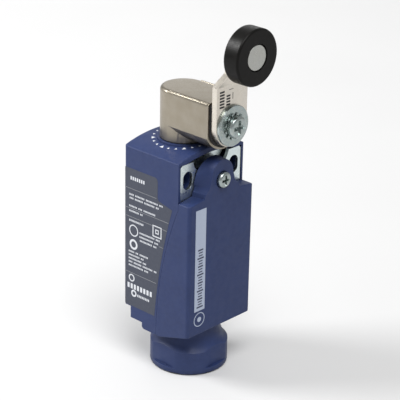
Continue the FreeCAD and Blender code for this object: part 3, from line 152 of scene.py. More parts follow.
class SwitchStudio(bpy.types.PropertyGroup):
    azimuth: bpy.props.FloatProperty(
        name="Azimuth", description="Camera's turn from straight in front, towards the left",
        subtype="ANGLE", default=math.radians(46.70))
    elevation: bpy.props.FloatProperty(
        name="Elevation", description="Camera's height angle", subtype="ANGLE",
        default=math.radians(22.93))
    roll: bpy.props.FloatProperty(
        name="Roll", description="Camera's lean", subtype="ANGLE", default=math.radians(-1.15))
    distance: bpy.props.FloatProperty(
        name="Distance", description="Camera to the point it aims at", unit="LENGTH", default=0.5357)
    lens: bpy.props.FloatProperty(
        name="Lens", description="Focal length in millimetres", unit="CAMERA", default=142.2)
    aim: bpy.props.FloatVectorProperty(
        name="Aim", description="Offset of the camera's aim from the middle of the switch",
        subtype="XYZ", unit="LENGTH", size=3, default=(3.66 * MM, 4.94 * MM, -3.93 * MM))
    key_strength: bpy.props.FloatProperty(
        name="Key light", description="Strength of the broad light from above", default=2.6)
    rim_power: bpy.props.FloatProperty(
        name="Rim light", description="Power of the soft box behind and to the left", unit="POWER",
        default=7.0)
    back_power: bpy.props.FloatProperty(
        name="Back light", description="Power of the soft box behind and to the right", unit="POWER",
        default=0.5)
    sky: bpy.props.FloatProperty(
        name="Sky", description="Strength of the even white surround", default=0.45)


def colours():
    return bpy.context.scene.switch_colours


def sizes():
    return bpy.context.scene.switch_sizes


# ---------------------------------------------------------------- modelling helpers
def deselect():
    bpy.ops.object.select_all(action="DESELECT")


def make_active(piece):
    deselect()
    piece.select_set(True)
    bpy.context.view_layer.objects.active = piece


def name_new(name):
    """The primitive just added, under its own name."""
    piece = bpy.context.object
    piece.name = name
    piece.data.name = name
    return piece


def pick(kind, test):
    """In edit mode, select the faces, edges or vertices that pass the test and nothing else."""
    bpy.ops.mesh.select_all(action="DESELECT")
    bpy.ops.mesh.select_mode(type={"faces": "FACE", "edges": "EDGE", "verts": "VERT"}[kind])
    grid = bmesh.from_edit_mesh(bpy.context.object.data)
    found = [element for element in getattr(grid, kind) if test(element)]
    if not found:
        raise RuntimeError("nothing to select on " + bpy.context.object.name)
    for element in found:
        element.select_set(True)
    grid.select_flush_mode()
    bmesh.update_edit_mesh(bpy.context.object.data)


def is_back_face(face):
    return face.normal.y > 0.99


def edit(piece):
    make_active(piece)
    bpy.ops.object.mode_set(mode="EDIT")


def leave_edit():
    bpy.ops.object.mode_set(mode="OBJECT")


def modify(piece, kind, **settings):
    """Add a modifier and apply it at once."""
    make_active(piece)
    modifier = piece.modifiers.new(kind.title(), kind)
    for key, value in settings.items():
        setattr(modifier, key, value)
    bpy.ops.object.modifier_apply(modifier=modifier.name)


def settle(piece):
    """Leave the object at the origin, unturned and unscaled, with its place in its mesh."""
    make_active(piece)
    bpy.ops.object.transform_apply(location=True, rotation=True, scale=True)


def smooth(piece, degrees=30):
    make_active(piece)
    bpy.ops.object.shade_smooth_by_angle(angle=math.radians(degrees))


def face_outwards(piece):
    edit(piece)
    bpy.ops.mesh.select_all(action="SELECT")
    bpy.ops.mesh.remove_doubles(threshold=TOUCHING)
    bpy.ops.mesh.normals_make_consistent(inside=False)
    leave_edit()


def join(name, pieces):
    """One object from several."""
    make_active(pieces[0])
    for piece in pieces[1:]:
        piece.select_set(True)
    if len(pieces) > 1:
        bpy.ops.object.join()
    return name_new(name)


def merged_copy(node, name):
    """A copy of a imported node's mesh with its loose triangles merged into flat faces."""
    piece = bpy.data.objects.new(name, frame["nodes"][node].data.copy())
    piece.data.name = name
    bpy.context.scene.collection.objects.link(piece)
    piece.data.materials.clear()
    edit(piece)
    bpy.ops.mesh.select_all(action="SELECT")
    bpy.ops.mesh.customdata_custom_splitnormals_clear()
    bpy.ops.mesh.remove_doubles(threshold=TOUCHING)
    bpy.ops.mesh.select_all(action="SELECT")
    bpy.ops.mesh.dissolve_limited(angle_limit=math.radians(0.5))
    leave_edit()
    return piece


def cut_away(piece, tools):
    """Cut closed tool pieces out of a piece and remove the tools."""
    for tool in tools:
        modify(piece, "BOOLEAN", object=tool, operation="DIFFERENCE", solver="EXACT")
        bpy.data.objects.remove(tool)


def finish_piece(piece, body, material, replaced=()):
    """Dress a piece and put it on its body."""
    piece.data.materials.clear()
    piece.data.materials.append(material)
    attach(piece, body)
    if replaced:
        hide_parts(*replaced)


def middle_of(node):
    low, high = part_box(node)
    return (low + high) / 2


# ---------------------------------------------------------------- finishes
class Finish:
    """A node material built round one Principled shader, read on object coordinates."""

    def __init__(self, name, colour, metallic=0.0, roughness=0.5, **sockets):
        self.material = bpy.data.materials.new(name)
        self.material.use_nodes = True
        self.tree = self.material.node_tree
        self.shader = self.tree.nodes["Principled BSDF"]
        self.place = self.add("ShaderNodeTexCoord").outputs["Object"]
        self.colour = tuple(colour)
        self.shader.inputs["Metallic"].default_value = metallic
        self.shader.inputs["Roughness"].default_value = roughness
        self.shader.inputs["Base Color"].default_value = (*self.colour, 1)
        self.material.diffuse_color = (*self.colour, 1)
        for socket, value in sockets.items():
            self.shader.inputs[socket.replace("_", " ")].default_value = value
        self.relief = None

    def add(self, kind, **settings):
        node = self.tree.nodes.new(kind)
        for key, value in settings.items():
            setattr(node, key, value)
        return node

    def link(self, source, target):
        self.tree.links.new(source, target)

    def noise(self, size, detail, stretch=(1, 1, 1)):
        """Noise whose features are about size across, drawn out along the stretched axes."""
        mapping = self.add("ShaderNodeMapping")
        mapping.inputs["Scale"].default_value = [1 / s for s in stretch]
        self.link(self.place, mapping.inputs["Vector"])
        noise = self.add("ShaderNodeTexNoise")
        noise.inputs["Scale"].default_value = 1 / size
        noise.inputs["Detail"].default_value = detail
        self.link(mapping.outputs["Vector"], noise.inputs["Vector"])
        return noise.outputs["Fac"]

    def cells(self, size):
        cells = self.add("ShaderNodeTexVoronoi")
        cells.inputs["Scale"].default_value = 1 / size
        self.link(self.place, cells.inputs["Vector"])
        return cells.outputs["Distance"]

    def levels(self, source, low, high, start=0.35, end=0.65):
        """A value from low to high as source goes from start to end."""
        node = self.add("ShaderNodeMapRange")
        for name, value in (("From Min", start), ("From Max", end), ("To Min", low), ("To Max", high)):
            node.inputs[name].default_value = value
        self.link(source, node.inputs["Value"])
        return node.outputs["Result"]

    def edge(self, radius):
        """How much a surface turns within radius: 0 on flats, towards 1 at a sharp edge; the mask of the
        painted edge highlights.
        """
        bevel = self.add("ShaderNodeBevel", samples=4)
        bevel.inputs["Radius"].default_value = radius
        dot = self.add("ShaderNodeVectorMath", operation="DOT_PRODUCT")
        self.link(bevel.outputs["Normal"], dot.inputs[0])
        self.link(self.add("ShaderNodeNewGeometry").outputs["Normal"], dot.inputs[1])
        return self.levels(dot.outputs["Value"], 1.0, 0.0, 0.75, 0.99)

    def painted_crevice_shade(self, reach, shade, share=0.8):
        """Painted shade: darken the colour where other surfaces stand within reach, as in holes and narrow
        gaps.
        """
        occlusion = self.add("ShaderNodeAmbientOcclusion", samples=6)
        occlusion.inputs["Distance"].default_value = reach
        self.tint(self.levels(occlusion.outputs["AO"], 1.0, 0.0, 0.25, 0.85), shade, share)

    def tint(self, source, shade, share=1.0):
        """Mix the colour so far towards the colour times shade, as source rises."""
        mix = self.add("ShaderNodeMix", data_type="RGBA")
        if self.shader.inputs["Base Color"].is_linked:
            self.link(self.shader.inputs["Base Color"].links[0].from_socket, mix.inputs["A"])
        else:
            mix.inputs["A"].default_value = (*self.colour, 1)
        shades = shade if isinstance(shade, tuple) else (shade,) * 3
        mix.inputs["B"].default_value = (*[min(1.0, c * s) for c, s in zip(self.colour, shades)], 1)
        self.link(self.levels(source, 0.0, share), mix.inputs["Factor"])
        self.link(mix.outputs["Result"], self.shader.inputs["Base Color"])

    def vary_roughness(self, source, low, high):
        self.link(self.levels(source, low, high), self.shader.inputs["Roughness"])

    def bump(self, source, depth, strength=1.0):
        """Relief of that depth in metres; each call stacks on the one before."""
        bump = self.add("ShaderNodeBump")
        bump.inputs["Strength"].default_value = strength
        bump.inputs["Distance"].default_value = depth
        self.link(source, bump.inputs["Height"])
        if self.relief:
            self.link(self.relief, bump.inputs["Normal"])
        self.relief = bump.outputs["Normal"]
        self.link(self.relief, self.shader.inputs["Normal"])

    def round_edges(self, radius):
        """Soft light on edges that are sharp in the mesh; called before the first bump."""
        bevel = self.add("ShaderNodeBevel", samples=4)
        bevel.inputs["Radius"].default_value = radius
        self.relief = bevel.outputs["Normal"]
        self.link(self.relief, self.shader.inputs["Normal"])


def moulded_plastic(name, colour, edge_highlight=1.9):
    """Plastic with a spark-eroded grain, faint flow shading, painted shade in holes and gaps and painted
    highlights that make its edges a little lighter.
    """
    finish = Finish(name, colour, roughness=0.46, Specular_IOR_Level=0.32)
    finish.round_edges(0.18 * MM)
    # painted shade: colour darkened in holes and narrow gaps
    finish.painted_crevice_shade(6 * MM, 0.10, 0.95)
    finish.tint(finish.noise(9 * MM, 3.0), 0.88)
    finish.tint(finish.noise(1.3 * MM, 4.0), 1.10, 0.5)
    # painted highlight: edges made lighter
    finish.tint(finish.edge(0.35 * MM), edge_highlight, 0.30)
    finish.vary_roughness(finish.noise(2.4 * MM, 5.0), 0.46, 0.56)
    finish.bump(finish.noise(0.28 * MM, 3.0), 0.006 * MM)
    finish.bump(finish.noise(6 * MM, 1.0), 0.02 * MM, 0.35)
    return finish.material


def cast_metal(name, colour):
    """Satin nickel over a die casting: fine tumbled grain, painted shade in the hollows, painted highlights
    on the edges.
    """
    finish = Finish(name, colour, metallic=1.0, roughness=0.34)
    finish.round_edges(0.15 * MM)
    # painted shade: colour darkened in hollows
    finish.painted_crevice_shade(3 * MM, (0.35, 0.33, 0.30))
    finish.tint(finish.noise(5 * MM, 4.0), (0.90, 0.89, 0.86))
    # painted highlight: edges made brighter
    finish.tint(finish.edge(0.30 * MM), 1.25, 0.6)
    finish.vary_roughness(finish.noise(0.5 * MM, 6.0), 0.30, 0.42)
    finish.bump(finish.noise(0.14 * MM, 3.0), 0.0022 * MM)
    finish.bump(finish.noise(3.5 * MM, 2.0), 0.03 * MM, 0.25)
    return finish.material


def rolled_metal(name, colour, stretch):
    """Plated sheet with the mill's fine lines along the stretched axis, and painted highlights on its edges.
    """
    finish = Finish(name, colour, metallic=1.0, roughness=0.26)
    finish.round_edges(0.12 * MM)
    lines = finish.noise(0.10 * MM, 3.0, stretch)
    finish.tint(lines, 0.90)
    finish.tint(finish.noise(4 * MM, 3.0), (0.94, 0.95, 0.97))
    # painted highlight: edges made brighter
    finish.tint(finish.edge(0.25 * MM), 1.2, 0.6)
    finish.vary_roughness(finish.noise(0.9 * MM, 5.0), 0.26, 0.38)
    finish.bump(lines, 0.0018 * MM)
    return finish.material


def zinc_plating(name, colour):
    """Bright bluish zinc with a faint cloudy passivation, fine handling marks, painted shade in recesses and
    painted highlights on its edges.
    """
    finish = Finish(name, colour, metallic=1.0, roughness=0.22)
    finish.round_edges(0.10 * MM)
    # painted shade: colour darkened in recesses
    finish.painted_crevice_shade(1.2 * MM, (0.30, 0.34, 0.33))
    finish.tint(finish.noise(1.6 * MM, 4.0), (0.80, 0.88, 0.86))
    finish.tint(finish.noise(0.7 * MM, 3.0), (1.12, 1.10, 0.98), 0.6)
    # painted highlight: edges made brighter
    finish.tint(finish.edge(0.2 * MM), 1.3, 0.7)
    finish.vary_roughness(finish.noise(0.4 * MM, 6.0), 0.18, 0.32)
    finish.bump(finish.noise(0.09 * MM, 4.0), 0.0025 * MM)
    return finish.material


def drawn_wire(name, colour):
    finish = Finish(name, colour, metallic=1.0, roughness=0.25)
    finish.tint(finish.noise(0.5 * MM, 4.0), 0.72)
    finish.vary_roughness(finish.noise(0.2 * MM, 4.0), 0.20, 0.36)
    finish.bump(finish.noise(0.05 * MM, 2.0, (1, 1, 0.4)), 0.001 * MM)
    return finish.material


def turned_plastic(name, colour):
    """Black thermoplastic of the roller: satin, with faint rolling marks on its tread."""
    finish = Finish(name, colour, roughness=0.32, Specular_IOR_Level=0.13)
    finish.round_edges(0.2 * MM)
    finish.tint(finish.noise(3 * MM, 4.0), 1.5, 0.6)
    finish.tint(finish.noise(0.6 * MM, 5.0), 1.9, 0.25)
    finish.vary_roughness(finish.noise(1.2 * MM, 5.0, (1, 0.35, 1)), 0.30, 0.44)
    finish.bump(finish.noise(0.18 * MM, 3.0, (1, 0.4, 1)), 0.003 * MM)
    return finish.material


def rubber(name, colour):
    finish = Finish(name, colour, roughness=0.75, Specular_IOR_Level=0.3)
    finish.tint(finish.noise(1.5 * MM, 4.0), 1.8, 0.6)
    finish.vary_roughness(finish.noise(0.5 * MM, 4.0), 0.66, 0.84)
    finish.bump(finish.noise(0.12 * MM, 4.0), 0.006 * MM)
    return finish.material


def yellow_metal(name, colour, pores=False):
    """Turned brass, or sintered bronze when it has pores."""
    finish = Finish(name, colour, metallic=1.0, roughness=0.3)
    finish.round_edges(0.08 * MM)
    finish.tint(finish.noise(2 * MM, 4.0), (0.82, 0.74, 0.62))
    finish.vary_roughness(finish.noise(0.5 * MM, 5.0), 0.22, 0.42)
    if pores:
        holes = finish.levels(finish.cells(0.22 * MM), 0.0, 1.0, 0.12, 0.32)
        finish.tint(holes, 1.25, 0.8)
        finish.bump(holes, 0.01 * MM)
    else:
        finish.bump(finish.noise(0.08 * MM, 3.0, (1, 0.3, 1)), 0.002 * MM)
    return finish.material


def printed(name, colour, rough=(0.36, 0.50), speck=0.86):
    """Pad-printed ink: even, a touch thin where the moulding's grain stands up."""
    finish = Finish(name, colour, roughness=rough[0], Specular_IOR_Level=0.4)
    finish.tint(finish.noise(0.22 * MM, 4.0), speck)
    finish.tint(finish.noise(7 * MM, 2.0), 0.95)
    finish.vary_roughness(finish.noise(1.1 * MM, 4.0), *rough)
    finish.bump(finish.noise(0.28 * MM, 3.0), 0.004 * MM)
    return finish.material


def floor_finish(name, colour):
    finish = Finish(name, colour, roughness=0.62, Specular_IOR_Level=0.25)
    finish.tint(finish.noise(120 * MM, 2.0), 0.985)
    finish.bump(finish.noise(1.5 * MM, 2.0), 0.004 * MM)
    return finish.material


def make_finishes():
    """Every material by the record's slot name, and the inks of the printed marks."""
    shades = colours()
    grey = (0.42, 0.42, 0.41)
    return {
        "body_plastic": moulded_plastic("body_plastic", shades.body),
        "head_metal": cast_metal("head_metal", shades.casting),
        "lever_metal": rolled_metal("lever_metal", shades.lever, (1, 1, 14)),
        "rivet_steel": rolled_metal("rivet_steel", shades.rivet, (1, 1, 1)),
        "zinc_plate": zinc_plating("zinc_plate", shades.zinc),
        "plate_steel": rolled_metal("plate_steel", shades.plate, (14, 1, 1)),
        "spring_steel": drawn_wire("spring_steel", grey),
        "roller_plastic": turned_plastic("roller_plastic", shades.roller),
        "rubber_black": rubber("rubber_black", (0.014, 0.014, 0.015)),
        "brass": yellow_metal("brass", (0.66, 0.47, 0.20)),
        "bearing_bronze": yellow_metal("bearing_bronze", (0.44, 0.27, 0.13), pores=True),
        "block_plastic": moulded_plastic("block_plastic", (0.018, 0.018, 0.020), edge_highlight=2.5),
        "carrier_plastic": moulded_plastic("carrier_plastic", (0.68, 0.67, 0.62), edge_highlight=1.1),
        "label_grey": printed("label_grey", shades.label, (0.50, 0.62)),
        "strip_print": printed("strip_print", shades.strip, (0.30, 0.42), 0.94),
        "light_ink": printed("light_ink", shades.ink),
        "faint_ink": printed("faint_ink", [c * 0.42 for c in shades.ink]),
        "dark_ink": printed("dark_ink", (0.030, 0.038, 0.075)),
        "black_ink": printed("black_ink", (0.012, 0.011, 0.014)),
    }


FINISHES = {}


def finish_of(slot):
    return FINISHES[slot]


class SWITCH_OT_finishes(bpy.types.Operator):
    """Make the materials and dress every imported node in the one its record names"""
    bl_idname = "switch.finishes"
    bl_label = "Finishes"

    def execute(self, context):
        FINISHES.update(make_finishes())
        for row in frame["record"]["subparts"]:
            node = frame["nodes"][row["node"]]
            node.data.materials.clear()
            node.data.materials.append(finish_of(row["material_slot"]))
        frame["nodes"]["roller_rivet"].data.materials[0] = finish_of("rivet_steel")
        return {"FINISHED"}


# ---------------------------------------------------------------- case, cover and head
# the entry's thread: its depth, and the widths of its ridge at root and crest, as shares of its pitch
THREAD_DEPTH_SHARE = 0.54
THREAD_ROOT_SHARE = 0.96
THREAD_CREST_SHARE = 0.12
# the head's lips, as shares of the bead's radius: how far in from the side the middles of the groove and the
# bead lie, how far the bead's middle lies below the top, and how far its ends are rounded
GROOVE_IN_SHARE = 1.1
LIP_IN_SHARE = 0.35
LIP_DOWN_SHARE = 1.15
LIP_END_SHARE = 0.8
# how far behind the head's front the lips start
LIP_SETBACK = 0.35 * MM


class SWITCH_OT_case(bpy.types.Operator):
    """The case moulding with a cut thread in its cable entry"""
    bl_idname = "switch.case"
    bl_label = "Case"

    def execute(self, context):
        mount = [m for m in frame["record"]["mounts"] if m["name"] == "cable_entry"][0]
        minor = mount["dims"]["r_mm"] * MM
        length = mount["dims"]["length_mm"] * MM
        pitch = sizes().thread_pitch
        major = minor + THREAD_DEPTH_SHARE * pitch
        shell = merged_copy("rear_case", "case_moulding")
        deselect()
        bpy.ops.mesh.primitive_cylinder_add(vertices=96, radius=major, depth=length + PAST,
                                            location=(0, 0, (length - PAST) / 2))
        tool = name_new("entry_tool")
        settle(tool)
        cut_away(shell, [tool])
        smooth(shell)
        finish_piece(shell, "case", finish_of("body_plastic"), ["rear_case"])
        self.add_thread(minor, major, pitch, length)
        return {"FINISHED"}

    def add_thread(self, minor, major, pitch, length):
        """One flank profile screwed up the bore; the ridge's two ends are left open."""
        deselect()
        bpy.ops.mesh.primitive_plane_add(size=1, location=((major + minor) / 2, 0, pitch),
                                         rotation=(QUARTER, 0, 0))
        thread = name_new("entry_thread")
        thread.scale = (major - minor, THREAD_ROOT_SHARE * pitch, 1)
        settle(thread)
        turns = int(length / pitch) - 1
        edit(thread)
        pick("verts", lambda vert: abs(vert.co.x - minor) < TOUCHING)
        bpy.ops.transform.resize(value=(1, 1, THREAD_CREST_SHARE / THREAD_ROOT_SHARE),
                                 center_override=(minor, 0, pitch))
        leave_edit()
        modify(thread, "SCREW", axis="Z", screw_offset=pitch, iterations=turns, steps=48,
               render_steps=48, use_smooth_shade=False, use_merge_vertices=False)
        face_outwards(thread)
        smooth(thread, 40)
        finish_piece(thread, "case", finish_of("body_plastic"))


class SWITCH_OT_cover(bpy.types.Operator):
    """The front cover's moulding"""
    bl_idname = "switch.cover"
    bl_label = "Cover"

    def execute(self, context):
        shell = merged_copy("front_cover", "cover_moulding")
        smooth(shell)
        finish_piece(shell, "cover", finish_of("body_plastic"), ["front_cover"])
        return {"FINISHED"}


class SWITCH_OT_head(bpy.types.Operator):
    """The turret head with rolled lips along the straight top edges"""
    bl_idname = "switch.head"
    bl_label = "Head"

    def execute(self, context):
        low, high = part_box("head_housing")
        casting = merged_copy("head_housing", "head_casting")
        turret = middle_of("plunger_guide")
        start, end = low.y + LIP_SETBACK, turret.y
        modify(casting, "BEVEL", width=sizes().edge_break, segments=4, limit_method="ANGLE",
               angle_limit=math.radians(50), use_clamp_overlap=True)
        sides = (low.x, high.x)
        cut_away(casting, [self.groove_tool(side, start, end, high.z) for side in sides])
        lips = [self.add_lip(side, start, end, high.z) for side in sides]
        head = join("head_casting", [casting] + lips)
        smooth(head, 24)
        finish_piece(head, "head", finish_of("head_metal"), ["head_housing"])
        return {"FINISHED"}

    def groove_tool(self, side, start, end, top):
        """A slim bar that cuts the groove beside a lip."""
        width = sizes().lip_radius
        deselect()
        bpy.ops.mesh.primitive_cube_add(size=1, scale=(width, end - start, width * 2), location=(
            side - math.copysign(width * GROOVE_IN_SHARE, side), (start + end) / 2, top))
        tool = name_new("groove_tool")
        settle(tool)
        return tool

    def add_lip(self, side, start, end, top):
        """A round bar along Y with softened ends, sunk into the head's top corner."""
        radius = sizes().lip_radius
        across = side - math.copysign(radius * LIP_IN_SHARE, side)
        deselect()
        bpy.ops.mesh.primitive_cylinder_add(
            vertices=24, radius=radius, depth=end - start, rotation=(QUARTER, 0, 0),
            location=(across, (start + end) / 2, top - radius * LIP_DOWN_SHARE))
        lip = name_new("lip")
        settle(lip)
        edit(lip)
        pick("edges", lambda edge: abs(edge.verts[0].co.y - edge.verts[1].co.y) < TOUCHING)
        bpy.ops.mesh.bevel(offset=radius * LIP_END_SHARE, segments=4)
        leave_edit()
        return lip


# ---------------------------------------------------------------- lever
class SWITCH_OT_lever(bpy.types.Operator):
    """The stamped lever with its edges broken"""
    bl_idname = "switch.lever"
    bl_label = "Lever"

    def execute(self, context):
        arm = merged_copy("lever_arm", "lever_plate")
        modify(arm, "BEVEL", width=sizes().edge_break, segments=3, limit_method="ANGLE",
               angle_limit=math.radians(60), use_clamp_overlap=True)
        smooth(arm, 35)
        finish_piece(arm, "lever", finish_of("lever_metal"), ["lever_arm"])
        return {"FINISHED"}


# ---------------------------------------------------------------- screws and washers
# a driver recess: an arm's floor beside its mouth, the middle's mouth and floor radii beside half an
# arm's width, the middle's length beside the arms' depth, and the recess's depth beside the head's height
# and half an arm's length, whichever is less
CROSS_FLOOR_SHARE = 0.55
CROSS_MOUTH_SHARE = 1.9
CROSS_POINT_SHARE = 0.5
CROSS_LENGTH_SHARE = 2.3
CROSS_HEIGHT_SHARE = 0.8
CROSS_SPAN_SHARE = 0.7
# a pan head: its dome's offset beside its height and its radius, whichever is less, and the dome's fullness
DOME_HEIGHT_SHARE = 0.62
DOME_RADIUS_SHARE = 0.4
DOME_PROFILE = 0.55
SEAT_EDGE = 0.12 * MM
SCREW_EDGE = 0.06 * MM
# a shank's taper and its tip, beside the shank's radius
TAPER_SHARE = 0.5
TIP_SHARE = 0.6
# the cover screw: its head's height beside its diameter, its shank's radius, half an arm's width and length
COVER_HEAD_SHARE = 0.39
COVER_SHANK = 1.45 * MM
COVER_CROSS = (0.58 * MM, 2.35 * MM)
# the lever screw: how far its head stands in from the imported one, its shank's radius, and its cross
LEVER_HEAD_INSET = 0.25 * MM
LEVER_SHANK = 1.95 * MM
LEVER_CROSS = (0.85 * MM, 3.3 * MM)
# the lock washer: its root beside its outer radius, its plate beside its height, its bore's gap, and its
# teeth's reach past the root, taper at the tip and twist beside its height
TOOTH_ROOT_SHARE = 0.80
WASHER_PLATE_SHARE = 0.62
WASHER_GAP = 0.2 * MM
WASHER_EDGE = 0.05 * MM
TOOTH_REACH = 0.98
TOOTH_TAPER = 0.9
TOOTH_TWIST = 0.19
# a rim face grows into a tooth from this share of the root radius outwards, and within this share of a
# tooth's step of its middle line
RIM_SHARE = 0.97
TOOTH_HALF_SHARE = 0.27
# a point twists with its flank from this share of the root radius outwards, and from this share of a step
# off the middle line
TIP_FROM_SHARE = 1.05
FLANK_FROM_SHARE = 0.05


def cross_tool(name, x, z, front, half_width, span, depth):
    """A tapered cross that cuts a driver recess into a screw head, open towards -Y."""
    arms = []
    for turn in (0, QUARTER):
        deselect()
        bpy.ops.mesh.primitive_cube_add(size=1, location=(x, front, z), rotation=(0, turn, 0),
                                        scale=(half_width * 2, depth * 2, span * 2))
        arm = name_new("arm")
        settle(arm)
        edit(arm)
        pick("faces", is_back_face)
        bpy.ops.transform.resize(value=(CROSS_FLOOR_SHARE, 1, CROSS_FLOOR_SHARE),
                                 center_override=(x, front + depth, z))
        leave_edit()
        arms.append(arm)
    deselect()
    bpy.ops.mesh.primitive_cone_add(
        vertices=16, radius1=half_width * CROSS_MOUTH_SHARE, radius2=half_width * CROSS_POINT_SHARE,
        depth=depth * CROSS_LENGTH_SHARE, location=(x, front, z), rotation=(-QUARTER, 0, 0))
    middle = name_new("middle")
    settle(middle)
    for arm in arms:
        modify(middle, "BOOLEAN", object=arm, operation="UNION", solver="EXACT")
        bpy.data.objects.remove(arm)
    return name_new(name)


def pan_screw(name, x, z, front, seat, head_radius, shank_radius, tip, half_width, span):
    """A pan head with a cross recess on a plain shank with a tapered tip, along Y."""
    height = seat - front
    deselect()
    bpy.ops.mesh.primitive_cylinder_add(vertices=64, radius=head_radius, depth=height,
                                        location=(x, (seat + front) / 2, z), rotation=(QUARTER, 0, 0))
    screw = name_new(name)
    settle(screw)
    edit(screw)
    pick("faces", is_back_face)
    bpy.ops.mesh.inset(thickness=head_radius - shank_radius)
    taper = shank_radius * TAPER_SHARE
    bpy.ops.mesh.extrude_region_move(TRANSFORM_OT_translate={"value": (0, tip - seat - taper, 0)})
    bpy.ops.mesh.extrude_region_move(TRANSFORM_OT_translate={"value": (0, taper, 0)})
    bpy.ops.transform.resize(value=(TIP_SHARE, 1, TIP_SHARE), center_override=(x, tip, z))
    pick("edges", lambda edge: all(abs(v.co.y - front) < TOUCHING for v in edge.verts))
    dome = min(height * DOME_HEIGHT_SHARE, head_radius * DOME_RADIUS_SHARE)
    bpy.ops.mesh.bevel(offset=dome, segments=6, profile=DOME_PROFILE)
    pick("edges", lambda edge: all(abs(v.co.y - seat) < TOUCHING for v in edge.verts)
         and all(math.hypot(v.co.x - x, v.co.z - z) > head_radius - TOUCHING for v in edge.verts))
    bpy.ops.mesh.bevel(offset=SEAT_EDGE, segments=2)
    leave_edit()
    depth = min(height * CROSS_HEIGHT_SHARE, span * CROSS_SPAN_SHARE)
    cut_away(screw, [cross_tool("cross", x, z, front, half_width, span, depth)])
    modify(screw, "BEVEL", width=SCREW_EDGE, segments=2, limit_method="ANGLE",
           angle_limit=math.radians(40), use_clamp_overlap=True)
    smooth(screw, 35)
    return screw


class SWITCH_OT_screws(bpy.types.Operator):
    """The cover screw, the lever screw and its toothed lock washer"""
    bl_idname = "switch.screws"
    bl_label = "Screws"

    def execute(self, context):
        plated = finish_of("zinc_plate")
        low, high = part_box("cover_screw")
        middle = middle_of("cover_screw")
        seat = low.y + COVER_HEAD_SHARE * (high.x - low.x)
        screw = pan_screw("cover_screw_cross", middle.x, middle.z, low.y, seat, (high.x - low.x) / 2,
                          COVER_SHANK, high.y, *COVER_CROSS)
        finish_piece(screw, "cover", plated, ["cover_screw"])

        low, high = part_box("lever_screw")
        middle = middle_of("lever_screw")
        washer_low, washer_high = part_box("lock_washer")
        screw = pan_screw("lever_screw_cross", middle.x, middle.z, low.y, washer_low.y,
                          (high.x - low.x) / 2 - LEVER_HEAD_INSET, LEVER_SHANK, high.y, *LEVER_CROSS)
        finish_piece(screw, "lever", plated, ["lever_screw"])
        washer = self.add_lock_washer(middle, washer_low, washer_high)
        finish_piece(washer, "lever", plated, ["lock_washer"])
        return {"FINISHED"}

    def add_lock_washer(self, middle, low, high):
        """A ring whose outer teeth are each twisted a little out of its plane."""
        teeth = sizes().tooth_count
        outer = (high.x - low.x) / 2
        root = outer * TOOTH_ROOT_SHARE
        bore = LEVER_SHANK + WASHER_GAP
        depth = (high.y - low.y) * WASHER_PLATE_SHARE
        deselect()
        bpy.ops.mesh.primitive_cylinder_add(vertices=teeth * 4, radius=root, depth=depth,
                                            location=(middle.x, (low.y + high.y) / 2, middle.z),
                                            rotation=(QUARTER, 0, 0))
        washer = name_new("lock_washer_toothed")
        settle(washer)
        edit(washer)
        pick("faces", lambda face: abs(face.normal.y) > 0.9)
        bpy.ops.mesh.inset(thickness=root - bore)
        bpy.ops.mesh.bridge_edge_loops()
        step = math.tau / teeth
        for number in range(teeth):
            angle = (number + 0.5) * step
            outwards = Vector((math.cos(angle), 0, math.sin(angle)))
            pick("faces", lambda face: is_tooth_root(face, middle, root, number, step))
            bpy.ops.mesh.extrude_region_move(
                TRANSFORM_OT_translate={"value": outwards * (outer - root) * TOOTH_REACH})
            tip = middle + outwards * outer
            bpy.ops.transform.resize(value=(TOOTH_TAPER,) * 3,
                                     center_override=(tip.x, (low.y + high.y) / 2, tip.z))
        self.twist_teeth(middle, root, step, (high.y - low.y) * TOOTH_TWIST)
        leave_edit()
        modify(washer, "BEVEL", width=WASHER_EDGE, segments=2, limit_method="ANGLE",
               angle_limit=math.radians(40), use_clamp_overlap=True)
        smooth(washer, 35)
        return washer

    def twist_teeth(self, middle, root, step, rise):
        """Lift one flank of every tooth's tip and lower the other."""
        for way in (-1, 1):
            pick("verts", lambda vert: tooth_side(vert, middle, step) * way > step * FLANK_FROM_SHARE
                 and math.hypot(vert.co.x - middle.x, vert.co.z - middle.z) > root * TIP_FROM_SHARE)
            bpy.ops.transform.translate(value=(0, way * rise, 0))


def tooth_side(vert, middle, step):
    """Below zero on one flank of a tooth, above zero on the other, zero on its middle line."""
    angle = math.atan2(vert.co.z - middle.z, vert.co.x - middle.x) % step
    return angle - step / 2


def is_tooth_root(face, middle, root, number, step):
    """Two of the four rim faces in each tooth's share of the turn."""
    centre = face.calc_center_median()
    across, up = centre.x - middle.x, centre.z - middle.z
    if abs(face.normal.y) > 0.1 or math.hypot(across, up) < root * RIM_SHARE:
        return False
    angle = math.atan2(up, across) % math.tau
    return abs(angle - (number + 0.5) * step) < step * TOOTH_HALF_SHARE


class SWITCH_OT_springs(bpy.types.Operator):
    """The plunger's and the carrier's springs, each a smoothed copy in its place"""
    bl_idname = "switch.springs"
    bl_label = "Springs"

    def execute(self, context):
        self.add_spring("plunger_spring", "head", "plunger")
        self.add_spring("carrier_spring", "case", "contacts")
        return {"FINISHED"}

    def add_spring(self, node, below, above):
        """A smoothed copy dressed in spring steel, left where the imported one stood; below and above are
        not used.
        """
        spring = merged_copy(node, node + "_wound")
        smooth(spring, 60)
        spring.data.materials.append(finish_of("spring_steel"))
        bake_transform(spring)
        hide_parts(node)


# ---------------------------------------------------------------- printed marks
LARGE_EVERY = 3
# the ticks on the strip: how much of it they take, where they start, their step and their shift to the
# right, and their heights and widths in millimetres, repeated along it
TICKS_SHARE = 0.6
TICKS_START = 0.9 * MM
TICK_STEP = 1.0 * MM
TICK_SHIFT = 0.1 * MM
TICK_HEIGHTS = (3.0, 1.9, 1.9, 2.4, 1.9, 1.9)
TICK_WIDTHS = (0.55, 0.42, 0.42)
